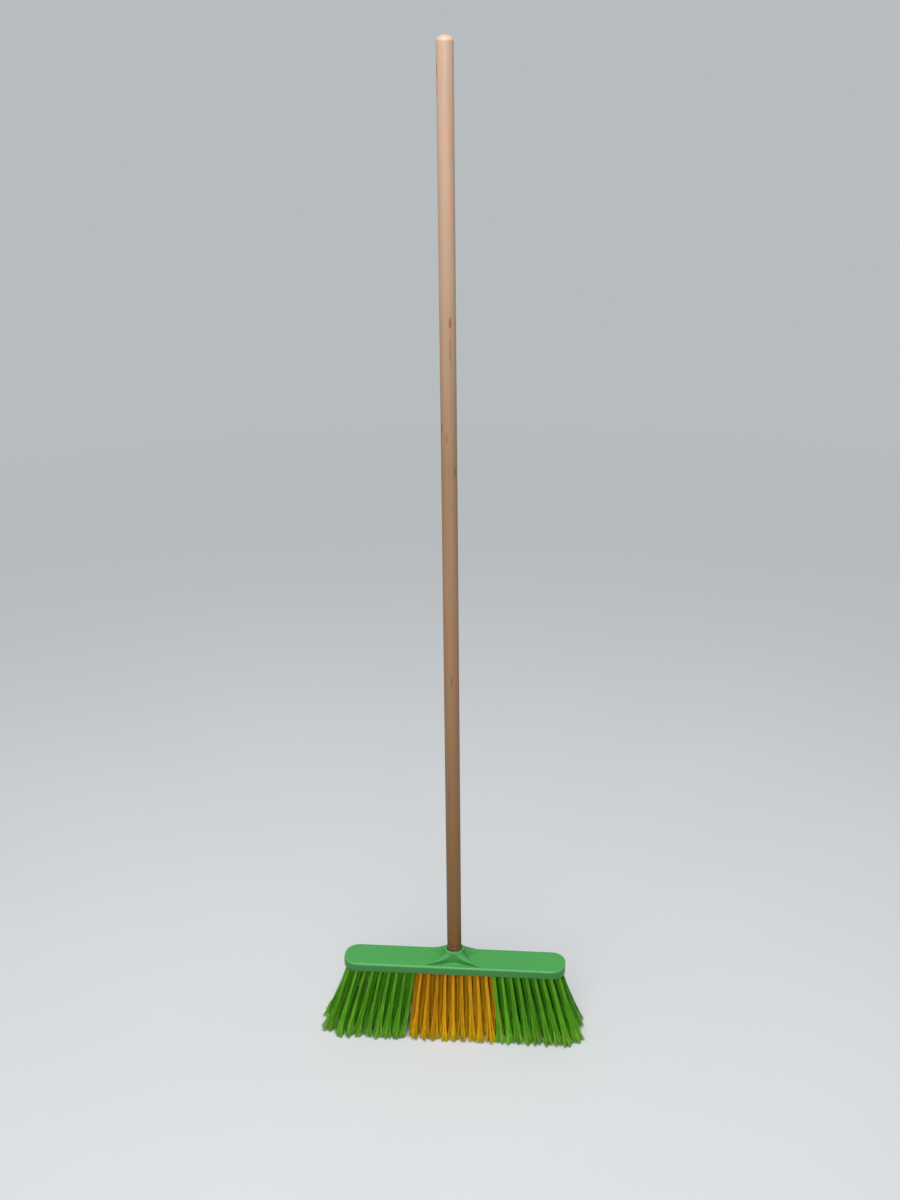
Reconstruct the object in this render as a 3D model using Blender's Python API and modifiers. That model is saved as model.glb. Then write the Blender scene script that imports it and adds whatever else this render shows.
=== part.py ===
"""Household broom: a wooden stick screwed into a moulded block with fanned bristle tufts.

Metres, +Z up. The origin is on the floor under the middle of the block, +X runs along the block and
-Y is the front. The bristle tips stand on the floor and the stick stands upright in the socket.
"""
import math

import bmesh
import bpy
from mathutils import Matrix

MM = 0.001

# Stick
HANDLE_LENGTH = 1372 * MM
HANDLE_DIAMETER = 22.2 * MM
HANDLE_DOME_HEIGHT = 7 * MM
HANDLE_END_CHAMFER = 1.5 * MM

# Thread turned on the stick
THREAD_LENGTH = 35.5 * MM
THREAD_PITCH = 6 * MM
THREAD_DEPTH = 1.4 * MM
THREAD_ROOT_WIDTH = 4.6 * MM
THREAD_CREST_WIDTH = 2.2 * MM
THREAD_CREST_RELIEF = 0.2 * MM

# Block
BLOCK_LENGTH = 347 * MM
BLOCK_WIDTH = 54 * MM
BLOCK_THICKNESS = 13.5 * MM
BLOCK_CORNER_RADIUS = 22 * MM
BLOCK_EDGE_FILLET = 3 * MM
BLOCK_WALL = 3 * MM
BLOCK_SKIN = 5.2 * MM

# Socket and its gussets, on top of the block
SOCKET_HEIGHT = 19 * MM
SOCKET_WALL = 4 * MM
SOCKET_FLOOR = 2.2 * MM
SOCKET_RIM_ROUND = 1.2 * MM
SOCKET_LEAD_IN = 0.8 * MM
SOCKET_GROOVE_DEPTH = 1.1 * MM
GUSSET_REACH = 38 * MM
GUSSET_SPREAD = 11 * MM
SOCKET_END_REACH = 7.5 * MM

# Bristle tufts
BRISTLE_LENGTH = 118 * MM
TUFT_END_INSET = 9.7 * MM
TUFT_SIDE_INSET = 7 * MM
FAN_OUT_ENDS = 36.5 * MM
FAN_OUT_SIDES = 10.5 * MM
TUFT_TIP_SPREAD = 3.7 * MM
STRAND_ROOT_RADIUS = 1.2 * MM
STRAND_TIP_RADIUS = 1.5 * MM
STRAND_GAP = 0.3 * MM
STRAND_EMBED = 2 * MM
TRIM_UNEVENNESS = 3 * MM
COLUMN_COUNT = 27
ROW_COUNT = 4
YELLOW_COLUMN_COUNT = 9
TRIM_STEPS = 4

# Fits
FIT_GAP = 0.3 * MM
THREAD_CLEARANCE = 0.3 * MM
JOIN_OVERLAP = 1 * MM
CUT_OVERRUN = 2 * MM
WELD_DISTANCE = 0.01 * MM

# Facets
HANDLE_STEPS = 32
DOME_STEPS = 5
THREAD_STEPS_PER_TURN = 20
CORNER_STEPS = 8
FILLET_STEPS = 3
STRAND_SIDES = 3

# How a gusset sweeps out towards its foot: along the block and across it
GUSSET_SWEEP_POWER = 1.85
GUSSET_SPREAD_POWER = 0.85
# A ridge's rounded nose at the rim, and how it closes and turns towards the foot
NOSE_DIRECTION = math.radians(45)
NOSE_TURN = math.radians(30)
NOSE_HALF_ANGLE = math.radians(10)
NOSE_CLOSING = math.radians(75)
NOSE_CLOSING_POWER = 0.7
NOSE_STEPS = 3
# The curved faces between the noses
FACE_STEPS = 4
FACE_HANDLE_share = 0.341
# Heights of the lofted sections, as shares of the socket's height
SOCKET_LEVEL_shares = (0.0, 0.08, 0.18, 0.32, 0.5, 0.72)

# Sizes worked out from the ones above
HANDLE_RADIUS = HANDLE_DIAMETER / 2
THREAD_ROOT_RADIUS = HANDLE_RADIUS - THREAD_DEPTH
BORE_RADIUS = HANDLE_RADIUS + THREAD_CLEARANCE
SOCKET_RADIUS = BORE_RADIUS + SOCKET_WALL
BACKING_THICKNESS = BLOCK_THICKNESS - BLOCK_SKIN - FIT_GAP
BLOCK_UNDERSIDE_Z = BRISTLE_LENGTH
BLOCK_TOP_Z = BLOCK_UNDERSIDE_Z + BLOCK_THICKNESS
SOCKET_RIM_Z = BLOCK_TOP_Z + SOCKET_HEIGHT
SOCKET_FLOOR_Z = BLOCK_TOP_Z - BLOCK_SKIN + SOCKET_FLOOR
HANDLE_BOTTOM_Z = SOCKET_FLOOR_Z + FIT_GAP
RECESS_LENGTH = BLOCK_LENGTH - 2 * BLOCK_WALL
RECESS_WIDTH = BLOCK_WIDTH - 2 * BLOCK_WALL
RECESS_RADIUS = BLOCK_CORNER_RADIUS - BLOCK_WALL
FAR_TUFT_X = BLOCK_LENGTH / 2 - TUFT_END_INSET
FAR_TUFT_Y = BLOCK_WIDTH / 2 - TUFT_SIDE_INSET
COLUMN_PITCH = 2 * FAR_TUFT_X / (COLUMN_COUNT - 1)
ROW_PITCH = 2 * FAR_TUFT_Y / (ROW_COUNT - 1)


def clear_scene():
    for obj in list(bpy.data.objects):
        bpy.data.objects.remove(obj, do_unlink=True)


def make_collection(name):
    collection = bpy.data.collections.new(name)
    bpy.context.scene.collection.children.link(collection)
    return collection


def make_material(name, colour, roughness):
    material = bpy.data.materials.new(name)
    material.use_nodes = True
    shader = material.node_tree.nodes["Principled BSDF"]
    shader.inputs["Base Color"].default_value = (*colour, 1.0)
    shader.inputs["Roughness"].default_value = roughness
    shader.inputs["Metallic"].default_value = 0.0
    return material


def add_object(name, mesh, collection, location=(0, 0, 0)):
    obj = bpy.data.objects.new(name, mesh)
    obj.location = location
    collection.objects.link(obj)
    return obj


def hide_cutter(obj):
    obj.hide_render = True
    obj.display_type = "WIRE"


def finish_mesh(mesh, material, smooth_angle=math.radians(35)):
    mesh.materials.clear()
    mesh.materials.append(material)
    mesh.shade_smooth()
    mesh.set_sharp_from_angle(angle=smooth_angle)


def add_boolean(obj, other, operation):
    modifier = obj.modifiers.new(f"{operation.lower()} {other.name}", "BOOLEAN")
    modifier.operation = operation
    modifier.solver = "EXACT"
    modifier.object = other


def evaluated_mesh(obj):
    """The object's mesh after its modifiers, with the vertices of touching seams merged."""
    graph = bpy.context.evaluated_depsgraph_get()
    mesh = bpy.data.meshes.new_from_object(obj.evaluated_get(graph))
    work = bmesh.new()
    work.from_mesh(mesh)
    bmesh.ops.remove_doubles(work, verts=work.verts, dist=WELD_DISTANCE)
    work.to_mesh(mesh)
    work.free()
    return mesh


def rounded_outline(length, width, radius):
    """Corner points of a rounded rectangle, anticlockwise."""
    points = []
    for corner, (side_x, side_y) in enumerate(((1, 1), (-1, 1), (-1, -1), (1, -1))):
        centre_x = side_x * (length / 2 - radius)
        centre_y = side_y * (width / 2 - radius)
        for step in range(CORNER_STEPS + 1):
            angle = math.pi / 2 * (corner + step / CORNER_STEPS)
            points.append((centre_x + radius * math.cos(angle), centre_y + radius * math.sin(angle)))
    return points


def extruded_outline(name, points, bottom, top, collection, location=(0, 0, 0)):
    """A flat outline filled and extruded from bottom to top, as a mesh object."""
    curve = bpy.data.curves.new(name, "CURVE")
    curve.dimensions = "2D"
    curve.fill_mode = "BOTH"
    curve.extrude = (top - bottom) / 2
    spline = curve.splines.new("POLY")
    spline.points.add(len(points) - 1)
    for point, (x, y) in zip(spline.points, points):
        point.co = (x, y, 0, 1)
    spline.use_cyclic_u = True
    drawn = add_object(name + "_outline", curve, collection)
    mesh = evaluated_mesh(drawn)
    mesh.transform(Matrix.Translation((0, 0, (top + bottom) / 2)))
    bpy.data.objects.remove(drawn, do_unlink=True)
    bpy.data.curves.remove(curve)
    return add_object(name, mesh, collection, location)


def loft(name, rings, collection, location=(0, 0, 0)):
    """A closed body through rings of points, each with as many points as the next."""
    work = bmesh.new()
    levels = [[work.verts.new(point) for point in ring] for ring in rings]
    for lower, upper in zip(levels, levels[1:]):
        for index in range(len(lower)):
            following = (index + 1) % len(lower)
            work.faces.new((lower[index], lower[following], upper[following], upper[index]))
    work.faces.new(reversed(levels[0]))
    work.faces.new(levels[-1])
    mesh = bpy.data.meshes.new(name)
    work.to_mesh(mesh)
    work.free()
    return add_object(name, mesh, collection, location)


def turned(name, profile, steps, collection, location=(0, 0, 0)):
    """A profile of (radius, height) points, top to bottom, turned about Z."""
    mesh = bpy.data.meshes.new(name)
    edges = [(index, index + 1) for index in range(len(profile) - 1)]
    mesh.from_pydata([(radius, 0, height) for radius, height in profile], edges, [])
    obj = add_object(name, mesh, collection, location)
    screw = obj.modifiers.new("turning", "SCREW")
    screw.axis = "Z"
    screw.steps = steps
    screw.render_steps = steps
    screw.use_merge_vertices = True
    screw.merge_threshold = WELD_DISTANCE
    return obj


def helical_tooth(name, inner, outer, root_width, crest_width, start, turns, collection, location):
    """A tooth wound round Z: from the inner to the outer radius, its middle starting at a height."""
    section = (
        (inner, start + root_width / 2), (outer, start + crest_width / 2),
        (outer, start - crest_width / 2), (inner, start - root_width / 2),
    )
    mesh = bpy.data.meshes.new(name)
    edges = [(index, (index + 1) % len(section)) for index in range(len(section))]
    mesh.from_pydata([(radius, 0, height) for radius, height in section], edges, [])
    guide = add_object(name + "_guide", mesh, collection)
    screw = guide.modifiers.new("winding", "SCREW")
    screw.axis = "Z"
    screw.angle = 2 * math.pi * turns
    screw.screw_offset = THREAD_PITCH * turns
    screw.steps = round(THREAD_STEPS_PER_TURN * turns)
    screw.render_steps = screw.steps
    wound = evaluated_mesh(guide)
    bpy.data.objects.remove(guide, do_unlink=True)
    work = bmesh.new()
    work.from_mesh(wound)
    open_edges = [edge for edge in work.edges if edge.is_boundary]
    bmesh.ops.holes_fill(work, edges=open_edges)
    bmesh.ops.recalc_face_normals(work, faces=work.faces)
    work.to_mesh(wound)
    work.free()
    obj = add_object(name, wound, collection, location)
    hide_cutter(obj)
    return obj


def thread_start():
    """Height of the thread's first tooth above the stick's lower end."""
    return HANDLE_END_CHAMFER + THREAD_ROOT_WIDTH / 2


def make_handle(parts, cutters, material):
    """The wooden stick: domed top, plain round length, and a thread turned on its lower end."""
    profile = []
    for step in range(DOME_STEPS + 1):
        angle = math.pi / 2 * step / DOME_STEPS
        height = HANDLE_LENGTH - HANDLE_DOME_HEIGHT * (1 - math.cos(angle))
        profile.append((HANDLE_RADIUS * math.sin(angle), height))
    profile += [
        (HANDLE_RADIUS, THREAD_LENGTH),
        (THREAD_ROOT_RADIUS, THREAD_LENGTH - THREAD_DEPTH),
        (THREAD_ROOT_RADIUS, HANDLE_END_CHAMFER),
        (THREAD_ROOT_RADIUS - HANDLE_END_CHAMFER, 0),
        (0, 0),
    ]
    place = (0, 0, HANDLE_BOTTOM_Z)
    handle = turned("handle", profile, HANDLE_STEPS, parts, place)
    turns = (THREAD_LENGTH - thread_start()) / THREAD_PITCH
    tooth = helical_tooth(
        "handle_thread_tooth", THREAD_ROOT_RADIUS - JOIN_OVERLAP, HANDLE_RADIUS - THREAD_CREST_RELIEF,
        THREAD_ROOT_WIDTH, THREAD_CREST_WIDTH, thread_start(), turns, cutters, place,
    )
    add_boolean(handle, tooth, "UNION")
    finish_mesh(handle.data, material)
    return handle


def make_plate(parts):
    """The block's plate, standing on z = 0, with its upper edge rounded."""
    outline = rounded_outline(BLOCK_LENGTH, BLOCK_WIDTH, BLOCK_CORNER_RADIUS)
    place = (0, 0, BLOCK_UNDERSIDE_Z)
    plate = extruded_outline("block", outline, 0, BLOCK_THICKNESS, parts, place)
    work = bmesh.new()
    work.from_mesh(plate.data)
    middle = BLOCK_THICKNESS / 2
    upper = [edge for edge in work.edges if min(vert.co.z for vert in edge.verts) > middle]
    rim = [edge for edge in upper if any(abs(face.normal.z) < 0.5 for face in edge.link_faces)]
    bmesh.ops.bevel(
        work, geom=rim, offset=BLOCK_EDGE_FILLET, segments=FILLET_STEPS,
        profile=0.5, affect="EDGES", clamp_overlap=True,
    )
    work.to_mesh(plate.data)
    work.free()
    return plate


def curved_face(start, start_direction, end, end_direction):
    """Points of a smooth curve between two places, without its last one."""
    handle = FACE_HANDLE_share * math.dist(start, end)
    corners = (
        start,
        tuple(a + handle * b for a, b in zip(start, start_direction)),
        tuple(a - handle * b for a, b in zip(end, end_direction)),
        end,
    )
    points = []
    for step in range(FACE_STEPS):
        part = step / FACE_STEPS
        rest = 1 - part
        weights = (rest ** 3, 3 * rest * rest * part, 3 * rest * part * part, part ** 3)
        points.append(tuple(
            sum(weight * corner[axis] for weight, corner in zip(weights, corners))
            for axis in range(2)
        ))
    return points


def socket_ring(level, height, shrink=0.0):
    """One section of the socket; level 0 is the foot and 1 the rim.

    Each quarter runs from the face towards the block's end, round a gusset's nose, and on along
    the face towards the block's long side.
    """
    out = 1 - level
    radius = SOCKET_RADIUS - shrink
    sweep = out ** GUSSET_SWEEP_POWER
    ridge_x = radius * math.cos(NOSE_DIRECTION) + GUSSET_REACH * sweep
    ridge_y = radius * math.sin(NOSE_DIRECTION) + GUSSET_SPREAD * out ** GUSSET_SPREAD_POWER
    direction = NOSE_DIRECTION - NOSE_TURN * out
    half_angle = NOSE_HALF_ANGLE + NOSE_CLOSING * out ** NOSE_CLOSING_POWER
    nose_radius = radius * NOSE_HALF_ANGLE / half_angle
    middle_x = ridge_x - nose_radius * math.cos(direction)
    middle_y = ridge_y - nose_radius * math.sin(direction)
    nose = []
    for step in range(NOSE_STEPS + 1):
        angle = direction + half_angle * (2 * step / NOSE_STEPS - 1)
        nose.append(
            (middle_x + nose_radius * math.cos(angle), middle_y + nose_radius * math.sin(angle))
        )
    before = direction - half_angle
    after = direction + half_angle
    end_face = (radius + SOCKET_END_REACH * sweep, 0.0)
    long_face = (0.0, radius)
    quarter = curved_face(end_face, (0, 1), nose[0], (-math.sin(before), math.cos(before)))
    quarter += nose[:-1]
    quarter += curved_face(nose[-1], (-math.sin(after), math.cos(after)), long_face, (-1, 0))
    half = quarter + [long_face] + [(-x, y) for x, y in reversed(quarter[1:])]
    return [(x, y, height) for x, y in half] + [(-x, -y, height) for x, y in half]


def make_socket(cutters):
    """The raised socket with four curved gussets, standing on the plate."""
    shoulder = SOCKET_HEIGHT - SOCKET_RIM_ROUND
    rings = [socket_ring(0, -JOIN_OVERLAP)]
    rings += [socket_ring(level, level * SOCKET_HEIGHT) for level in SOCKET_LEVEL_shares]
    for step in range(FILLET_STEPS + 1):
        angle = math.pi / 2 * step / FILLET_STEPS
        height = shoulder + SOCKET_RIM_ROUND * math.sin(angle)
        rings.append(socket_ring(1, height, SOCKET_RIM_ROUND * (1 - math.cos(angle))))
    socket = loft("socket_body", rings, cutters, (0, 0, BLOCK_TOP_Z))
    hide_cutter(socket)
    return socket


def make_bore(cutters):
    """The socket's bore, with a short lead-in cone at its mouth."""
    profile = (
        (0, SOCKET_RIM_Z + CUT_OVERRUN),
        (BORE_RADIUS + SOCKET_LEAD_IN, SOCKET_RIM_Z + CUT_OVERRUN),
        (BORE_RADIUS + SOCKET_LEAD_IN, SOCKET_RIM_Z),
        (BORE_RADIUS, SOCKET_RIM_Z - SOCKET_LEAD_IN),
        (BORE_RADIUS, SOCKET_FLOOR_Z),
        (0, SOCKET_FLOOR_Z),
    )
    bore = turned("socket_bore", profile, HANDLE_STEPS, cutters)
    hide_cutter(bore)
    return bore


def make_socket_groove(cutters):
    """The thread groove in the bore, in step with the stick's thread and open at the mouth."""
    rise = SOCKET_RIM_Z + CUT_OVERRUN - HANDLE_BOTTOM_Z - thread_start()
    return helical_tooth(
        "socket_groove", BORE_RADIUS - JOIN_OVERLAP, BORE_RADIUS + SOCKET_GROOVE_DEPTH,
        THREAD_ROOT_WIDTH, THREAD_CREST_WIDTH, thread_start(), rise / THREAD_PITCH,
        cutters, (0, 0, HANDLE_BOTTOM_Z),
    )


def make_recess(cutters):
    """The hollow in the block's underside that holds the bristle strips' backing."""
    outline = rounded_outline(RECESS_LENGTH, RECESS_WIDTH, RECESS_RADIUS)
    depth = BACKING_THICKNESS + FIT_GAP
    place = (0, 0, BLOCK_UNDERSIDE_Z)
    recess = extruded_outline("block_recess", outline, -CUT_OVERRUN, depth, cutters, place)
    hide_cutter(recess)
    return recess


def make_block(parts, cutters, material):
    block = make_plate(parts)
    add_boolean(block, make_socket(cutters), "UNION")
    add_boolean(block, make_bore(cutters), "DIFFERENCE")
    add_boolean(block, make_socket_groove(cutters), "DIFFERENCE")
    add_boolean(block, make_recess(cutters), "DIFFERENCE")
    finish_mesh(block.data, material)
    return block


def column_x(column):
    return (column - (COLUMN_COUNT - 1) / 2) * COLUMN_PITCH


def row_y(row):
    return (row - (ROW_COUNT - 1) / 2) * ROW_PITCH


def stagger(row):
    """Every second row is shifted by half a pitch."""
    return COLUMN_PITCH / 2 if row % 2 else 0.0


def past_the_end(x):
    return x > FAR_TUFT_X + WELD_DISTANCE


def tuft_y(x, row):
    """The row's place, drawn in where the block's corners are round."""
    radius = BLOCK_CORNER_RADIUS - TUFT_SIDE_INSET
    past = max(0.0, abs(x) - (BLOCK_LENGTH / 2 - BLOCK_CORNER_RADIUS))
    rise = math.sqrt(max(0.0, radius ** 2 - past ** 2))
    reach = BLOCK_WIDTH / 2 - BLOCK_CORNER_RADIUS + rise
    return max(-reach, min(reach, row_y(row)))


def tuft_roots(column):
    """(row, x, y) of the column's tufts."""
    places = [(row, column_x(column) + stagger(row)) for row in range(ROW_COUNT)]
    return [(row, x, tuft_y(x, row)) for row, x in places if not past_the_end(x)]


def strip_border(column):
    """The zigzag border on the column's lower x side, front to back, midway between the tufts."""
    points = []
    for row in range(ROW_COUNT):
        x = column_x(column) + stagger(row)
        neighbour = x - COLUMN_PITCH if past_the_end(x) else x
        points.append((x - COLUMN_PITCH / 2, tuft_y(neighbour, row)))
    far_y = RECESS_WIDTH / 2
    return [(points[0][0], -far_y), *points, (points[-1][0], far_y)]


def strip_outline(column):
    """The strip's outline from its two zigzag borders; the end strips run past the recess's ends."""
    far_x = RECESS_LENGTH / 2 + CUT_OVERRUN
    lower = strip_border(column)
    upper = strip_border(column + 1)
    if column == 0:
        lower = [(-far_x, lower[0][1]), (-far_x, lower[-1][1])]
    else:
        lower = [(x + FIT_GAP / 2, y) for x, y in lower]
    if column == COLUMN_COUNT - 1:
        upper = [(far_x, upper[0][1]), (far_x, upper[-1][1])]
    else:
        upper = [(x - FIT_GAP / 2, y) for x, y in upper]
    return upper + lower[::-1]


def strand_matrix(root_x, root_y, tip_x, tip_y, tip_z):
    """Slants an upright strand from its root to its tip, keeping both its ends level."""
    top = BLOCK_UNDERSIDE_Z + STRAND_EMBED
    height = top - tip_z
    run = BLOCK_UNDERSIDE_Z - tip_z
    slope_x = (root_x - tip_x) / run
    slope_y = (root_y - tip_y) / run
    slant = Matrix.Identity(4)
    slant[0][2] = slope_x
    slant[1][2] = slope_y
    middle = (tip_x + slope_x * height / 2, tip_y + slope_y * height / 2, tip_z + height / 2)
    return Matrix.Translation(middle) @ slant, height


def trim_height(column, row, strand):
    """Height of a strand's end above the floor: a fixed uneven pattern, one in four on the floor."""
    step = (column * 3 + row * 2 + strand * 5 + column * row) % TRIM_STEPS
    return TRIM_UNEVENNESS * step / (TRIM_STEPS - 1)


def make_strands(column, cutters):
    """The column's strands, four to a tuft, spreading from the roots to the tips."""
    root_offset = STRAND_ROOT_RADIUS + STRAND_GAP / 2
    work = bmesh.new()
    for row, x, y in tuft_roots(column):
        tip_x = x * (1 + FAN_OUT_ENDS / FAR_TUFT_X)
        tip_y = y * (1 + FAN_OUT_SIDES / FAR_TUFT_Y)
        for strand, (side_x, side_y) in enumerate(((1, 1), (-1, 1), (-1, -1), (1, -1))):
            matrix, height = strand_matrix(
                x + side_x * root_offset, y + side_y * root_offset,
                tip_x + side_x * TUFT_TIP_SPREAD, tip_y + side_y * TUFT_TIP_SPREAD,
                trim_height(column, row, strand),
            )
            outward = math.pi / 2 if x >= 0 else -math.pi / 2
            bmesh.ops.create_cone(
                work, cap_ends=True, cap_tris=False, segments=STRAND_SIDES,
                radius1=STRAND_TIP_RADIUS, radius2=STRAND_ROOT_RADIUS, depth=height,
                matrix=matrix @ Matrix.Rotation(outward, 4, "Z"),
            )
    mesh = bpy.data.meshes.new(f"strands_{column + 1:02d}")
    work.to_mesh(mesh)
    work.free()
    strands = add_object(mesh.name, mesh, cutters)
    hide_cutter(strands)
    return strands


def make_strips(parts, cutters, green, yellow):
    """One strip of backing for each column of tufts, with the column's bristles fused to it."""
    inner = rounded_outline(
        RECESS_LENGTH - 2 * FIT_GAP, RECESS_WIDTH - 2 * FIT_GAP, RECESS_RADIUS - FIT_GAP,
    )
    place = (0, 0, BLOCK_UNDERSIDE_Z)
    envelope = extruded_outline(
        "backing_envelope", inner, -CUT_OVERRUN, BACKING_THICKNESS + CUT_OVERRUN, cutters, place,
    )
    hide_cutter(envelope)
    strips = []
    for column in range(COLUMN_COUNT):
        name = f"tuft_strip_{column + 1:02d}"
        outline = strip_outline(column)
        strip = extruded_outline(name, outline, 0, BACKING_THICKNESS, parts, place)
        add_boolean(strip, envelope, "INTERSECT")
        add_boolean(strip, make_strands(column, cutters), "UNION")
        from_middle = abs(column - (COLUMN_COUNT - 1) / 2)
        in_middle = from_middle < YELLOW_COLUMN_COUNT / 2
        finish_mesh(strip.data, yellow if in_middle else green)
        strips.append(strip)
    return strips


def parent_to_empty(name, objects, location, collection):
    """Hangs objects on an empty without moving them."""
    empty = bpy.data.objects.new(name, None)
    empty.location = location
    collection.objects.link(empty)
    for obj in objects:
        obj.parent = empty
        obj.matrix_parent_inverse = Matrix.Translation(location).inverted()
    return empty


def main():
    clear_scene()
    parts = make_collection("broom")
    cutters = make_collection("cutters")
    wood = make_material("stick_wood", (0.42, 0.24, 0.13), 0.5)
    block_green = make_material("block_green", (0.085, 0.36, 0.10), 0.4)
    bristle_green = make_material("bristle_green", (0.07, 0.26, 0.02), 0.45)
    bristle_yellow = make_material("bristle_yellow", (0.50, 0.26, 0.01), 0.45)
    handle = make_handle(parts, cutters, wood)
    block = make_block(parts, cutters, block_green)
    strips = make_strips(parts, cutters, bristle_green, bristle_yellow)
    parent_to_empty("head_frame", [block, *strips], (0, 0, 0), parts)
    parent_to_empty("handle_axis", [handle], (0, 0, HANDLE_BOTTOM_Z), parts)


main()
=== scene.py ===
"""Household broom, finished for its picture.

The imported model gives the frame: a wooden stick that stands in the socket of a moulded block, and
columns of bristle tufts below the block. This file gives each of them its finished surface and
sets the floor, the lamps and the camera. Everything is in metres. +X runs along the block, -Y is
the front and +Z is up, and the bristle tips stand on the floor at z = 0.
"""

import math

import bmesh
import bpy
from bpy.props import FloatProperty, FloatVectorProperty, IntProperty, PointerProperty
from mathutils import Matrix, Vector


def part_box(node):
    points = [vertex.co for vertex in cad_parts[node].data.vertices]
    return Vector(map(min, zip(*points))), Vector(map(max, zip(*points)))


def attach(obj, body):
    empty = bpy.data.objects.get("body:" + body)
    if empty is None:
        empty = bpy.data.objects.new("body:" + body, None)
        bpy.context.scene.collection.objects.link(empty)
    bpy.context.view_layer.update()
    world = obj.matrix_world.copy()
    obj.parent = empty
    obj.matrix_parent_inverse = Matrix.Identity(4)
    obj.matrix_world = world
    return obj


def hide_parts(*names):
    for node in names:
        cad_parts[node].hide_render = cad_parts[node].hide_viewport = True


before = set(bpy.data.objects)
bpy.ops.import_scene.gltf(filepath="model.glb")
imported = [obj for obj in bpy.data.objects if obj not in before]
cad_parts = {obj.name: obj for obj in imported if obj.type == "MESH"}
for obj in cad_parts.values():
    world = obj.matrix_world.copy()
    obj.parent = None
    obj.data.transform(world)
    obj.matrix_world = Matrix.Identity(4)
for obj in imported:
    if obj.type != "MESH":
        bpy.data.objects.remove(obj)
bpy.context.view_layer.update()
block_low, block_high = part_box("block")
handle_low, handle_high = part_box("handle")

bl_info = {
    "name": "Household Broom",
    "version": (1, 0, 0),
    "blender": (4, 5, 0),
    "location": "3D View > Sidebar > Broom",
    "description": "Finishes a household broom: turned stick, moulded block, fanned bristles",
    "category": "Add Mesh",
}

MM = 0.001
TURN = 2 * math.pi
WELD_DISTANCE = 0.01 * MM
SHARP_ANGLE = math.radians(40)
BLACK = (0.0, 0.0, 0.0)


def distance(name, description, default):
    return FloatProperty(
        name=name, description=description, default=default, min=0, unit="LENGTH", precision=4,
    )


def share(name, description, default):
    return FloatProperty(
        name=name, description=description, default=default, min=0, max=1, subtype="FACTOR",
    )


def count(name, description, default):
    return IntProperty(name=name, description=description, default=default, min=1)


def colour(name, description, default):
    return FloatVectorProperty(
        name=name, description=description, default=default, min=0, max=1, subtype="COLOR",
    )


class StickSettings(bpy.types.PropertyGroup):
    """Sizes and colours of the wooden stick."""

    bottom: distance("Bottom", "Height of the stick's lower end above the floor", handle_low.z)
    length: distance("Length", "Length of the stick", handle_high.z - handle_low.z)
    diameter: distance("Diameter", "Diameter of the plain stick", 22.2 * MM)
    dome_height: distance("Dome height", "Height of the rounded top end", 7 * MM)
    end_chamfer: distance("End chamfer", "Chamfer round the lower end", 1.5 * MM)
    thread_length: distance("Thread length", "Length of the turned thread", 35.5 * MM)
    thread_pitch: distance("Thread pitch", "Rise of the thread in one turn", 6 * MM)
    thread_depth: distance("Thread depth", "Depth of the thread's root below the stick", 1.4 * MM)
    crest_relief: distance("Crest relief", "How far the crest lies below the stick", 0.2 * MM)
    foot_width: distance("Tooth foot", "Width of the thread's tooth at its foot", 4.6 * MM)
    crest_width: distance("Tooth crest", "Width of the thread's tooth at its crest", 2.2 * MM)
    sides: count("Sides", "Facets round the stick", 72)
    # Painted shade: the wood's colours darken from the top down to the socket, darkest where the
    # socket shades the stick
    wood_top: colour("Wood, top", "Wood at the top end", (0.728, 0.487, 0.372))
    wood_high: colour("Wood, upper", "Wood of the upper third", (0.622, 0.407, 0.281))
    wood_middle: colour("Wood, middle", "Wood half way up", (0.428, 0.251, 0.145))
    wood_low: colour("Wood, lower", "Wood of the lower third", (0.336, 0.186, 0.088))
    wood_socket_shade: colour("Wood, socket", "Wood next to the socket", (0.214, 0.096, 0.023))
    knot: colour("Knots", "Small knots and pith flecks", (0.17, 0.08, 0.035))
    # Painted shade in the root of the thread
    shaded_wood: colour("Thread root", "Wood in the root of the thread", (0.10, 0.05, 0.02))


class BlockSettings(bpy.types.PropertyGroup):
    """Sizes and colours of the moulded block with its socket."""

    underside: distance("Underside", "Height of the block's underside", block_low.z)
    length: distance("Length", "Length of the block", block_high.x - block_low.x)
    width: distance("Width", "Width of the block", block_high.y - block_low.y)
    thickness: distance("Thickness", "Thickness of the block's plate", 13.5 * MM)
    corner_radius: distance("Corner radius", "Radius of the plate's corners", 22 * MM)
    edge_round: distance("Edge round", "Radius of the plate's upper edge", 3 * MM)
    lower_round: distance("Lower round", "Radius of the plate's lower edge", 0.7 * MM)
    socket_height: distance("Socket height", "Height of the socket above the plate", 19 * MM)
    socket_radius: distance("Socket radius", "Outer radius at the socket's rim", 15.4 * MM)
    socket_floor: distance("Socket floor", "Depth of the bore's end below the plate's top", 3 * MM)
    bore_radius: distance("Bore radius", "Radius of the socket's bore", 11.4 * MM)
    lead_in: distance("Lead-in", "Chamfer at the bore's mouth", 0.8 * MM)
    rim_round: distance("Rim round", "Radius of the socket's rim", 1.2 * MM)
    foot_round: distance("Foot round", "Flare of the socket into the plate", 1.2 * MM)
    gusset_length: distance("Gusset length", "How far a gusset runs out along the block", 38 * MM)
    gusset_spread: distance("Gusset spread", "How far a gusset's foot bends to the side", 10.6 * MM)
    end_face: distance("End face", "How far the face between two gussets slopes out", 7.5 * MM)
    groove_depth: distance("Groove depth", "Depth of the thread groove in the bore", 1.1 * MM)
    hole_radius: distance("Hole radius", "Radius of a tuft's hole in the underside", 2.8 * MM)
    hole_depth: distance("Hole depth", "Depth of a tuft's hole that is modelled", 5 * MM)
    hole_lead: distance("Hole lead", "Chamfer at a hole's mouth", 0.4 * MM)
    plastic: colour("Plastic", "Moulded plastic", (0.0535, 0.322, 0.065))
    scuffed: colour("Scuffed plastic", "Plastic along worn edges", (0.105, 0.40, 0.122))


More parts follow.
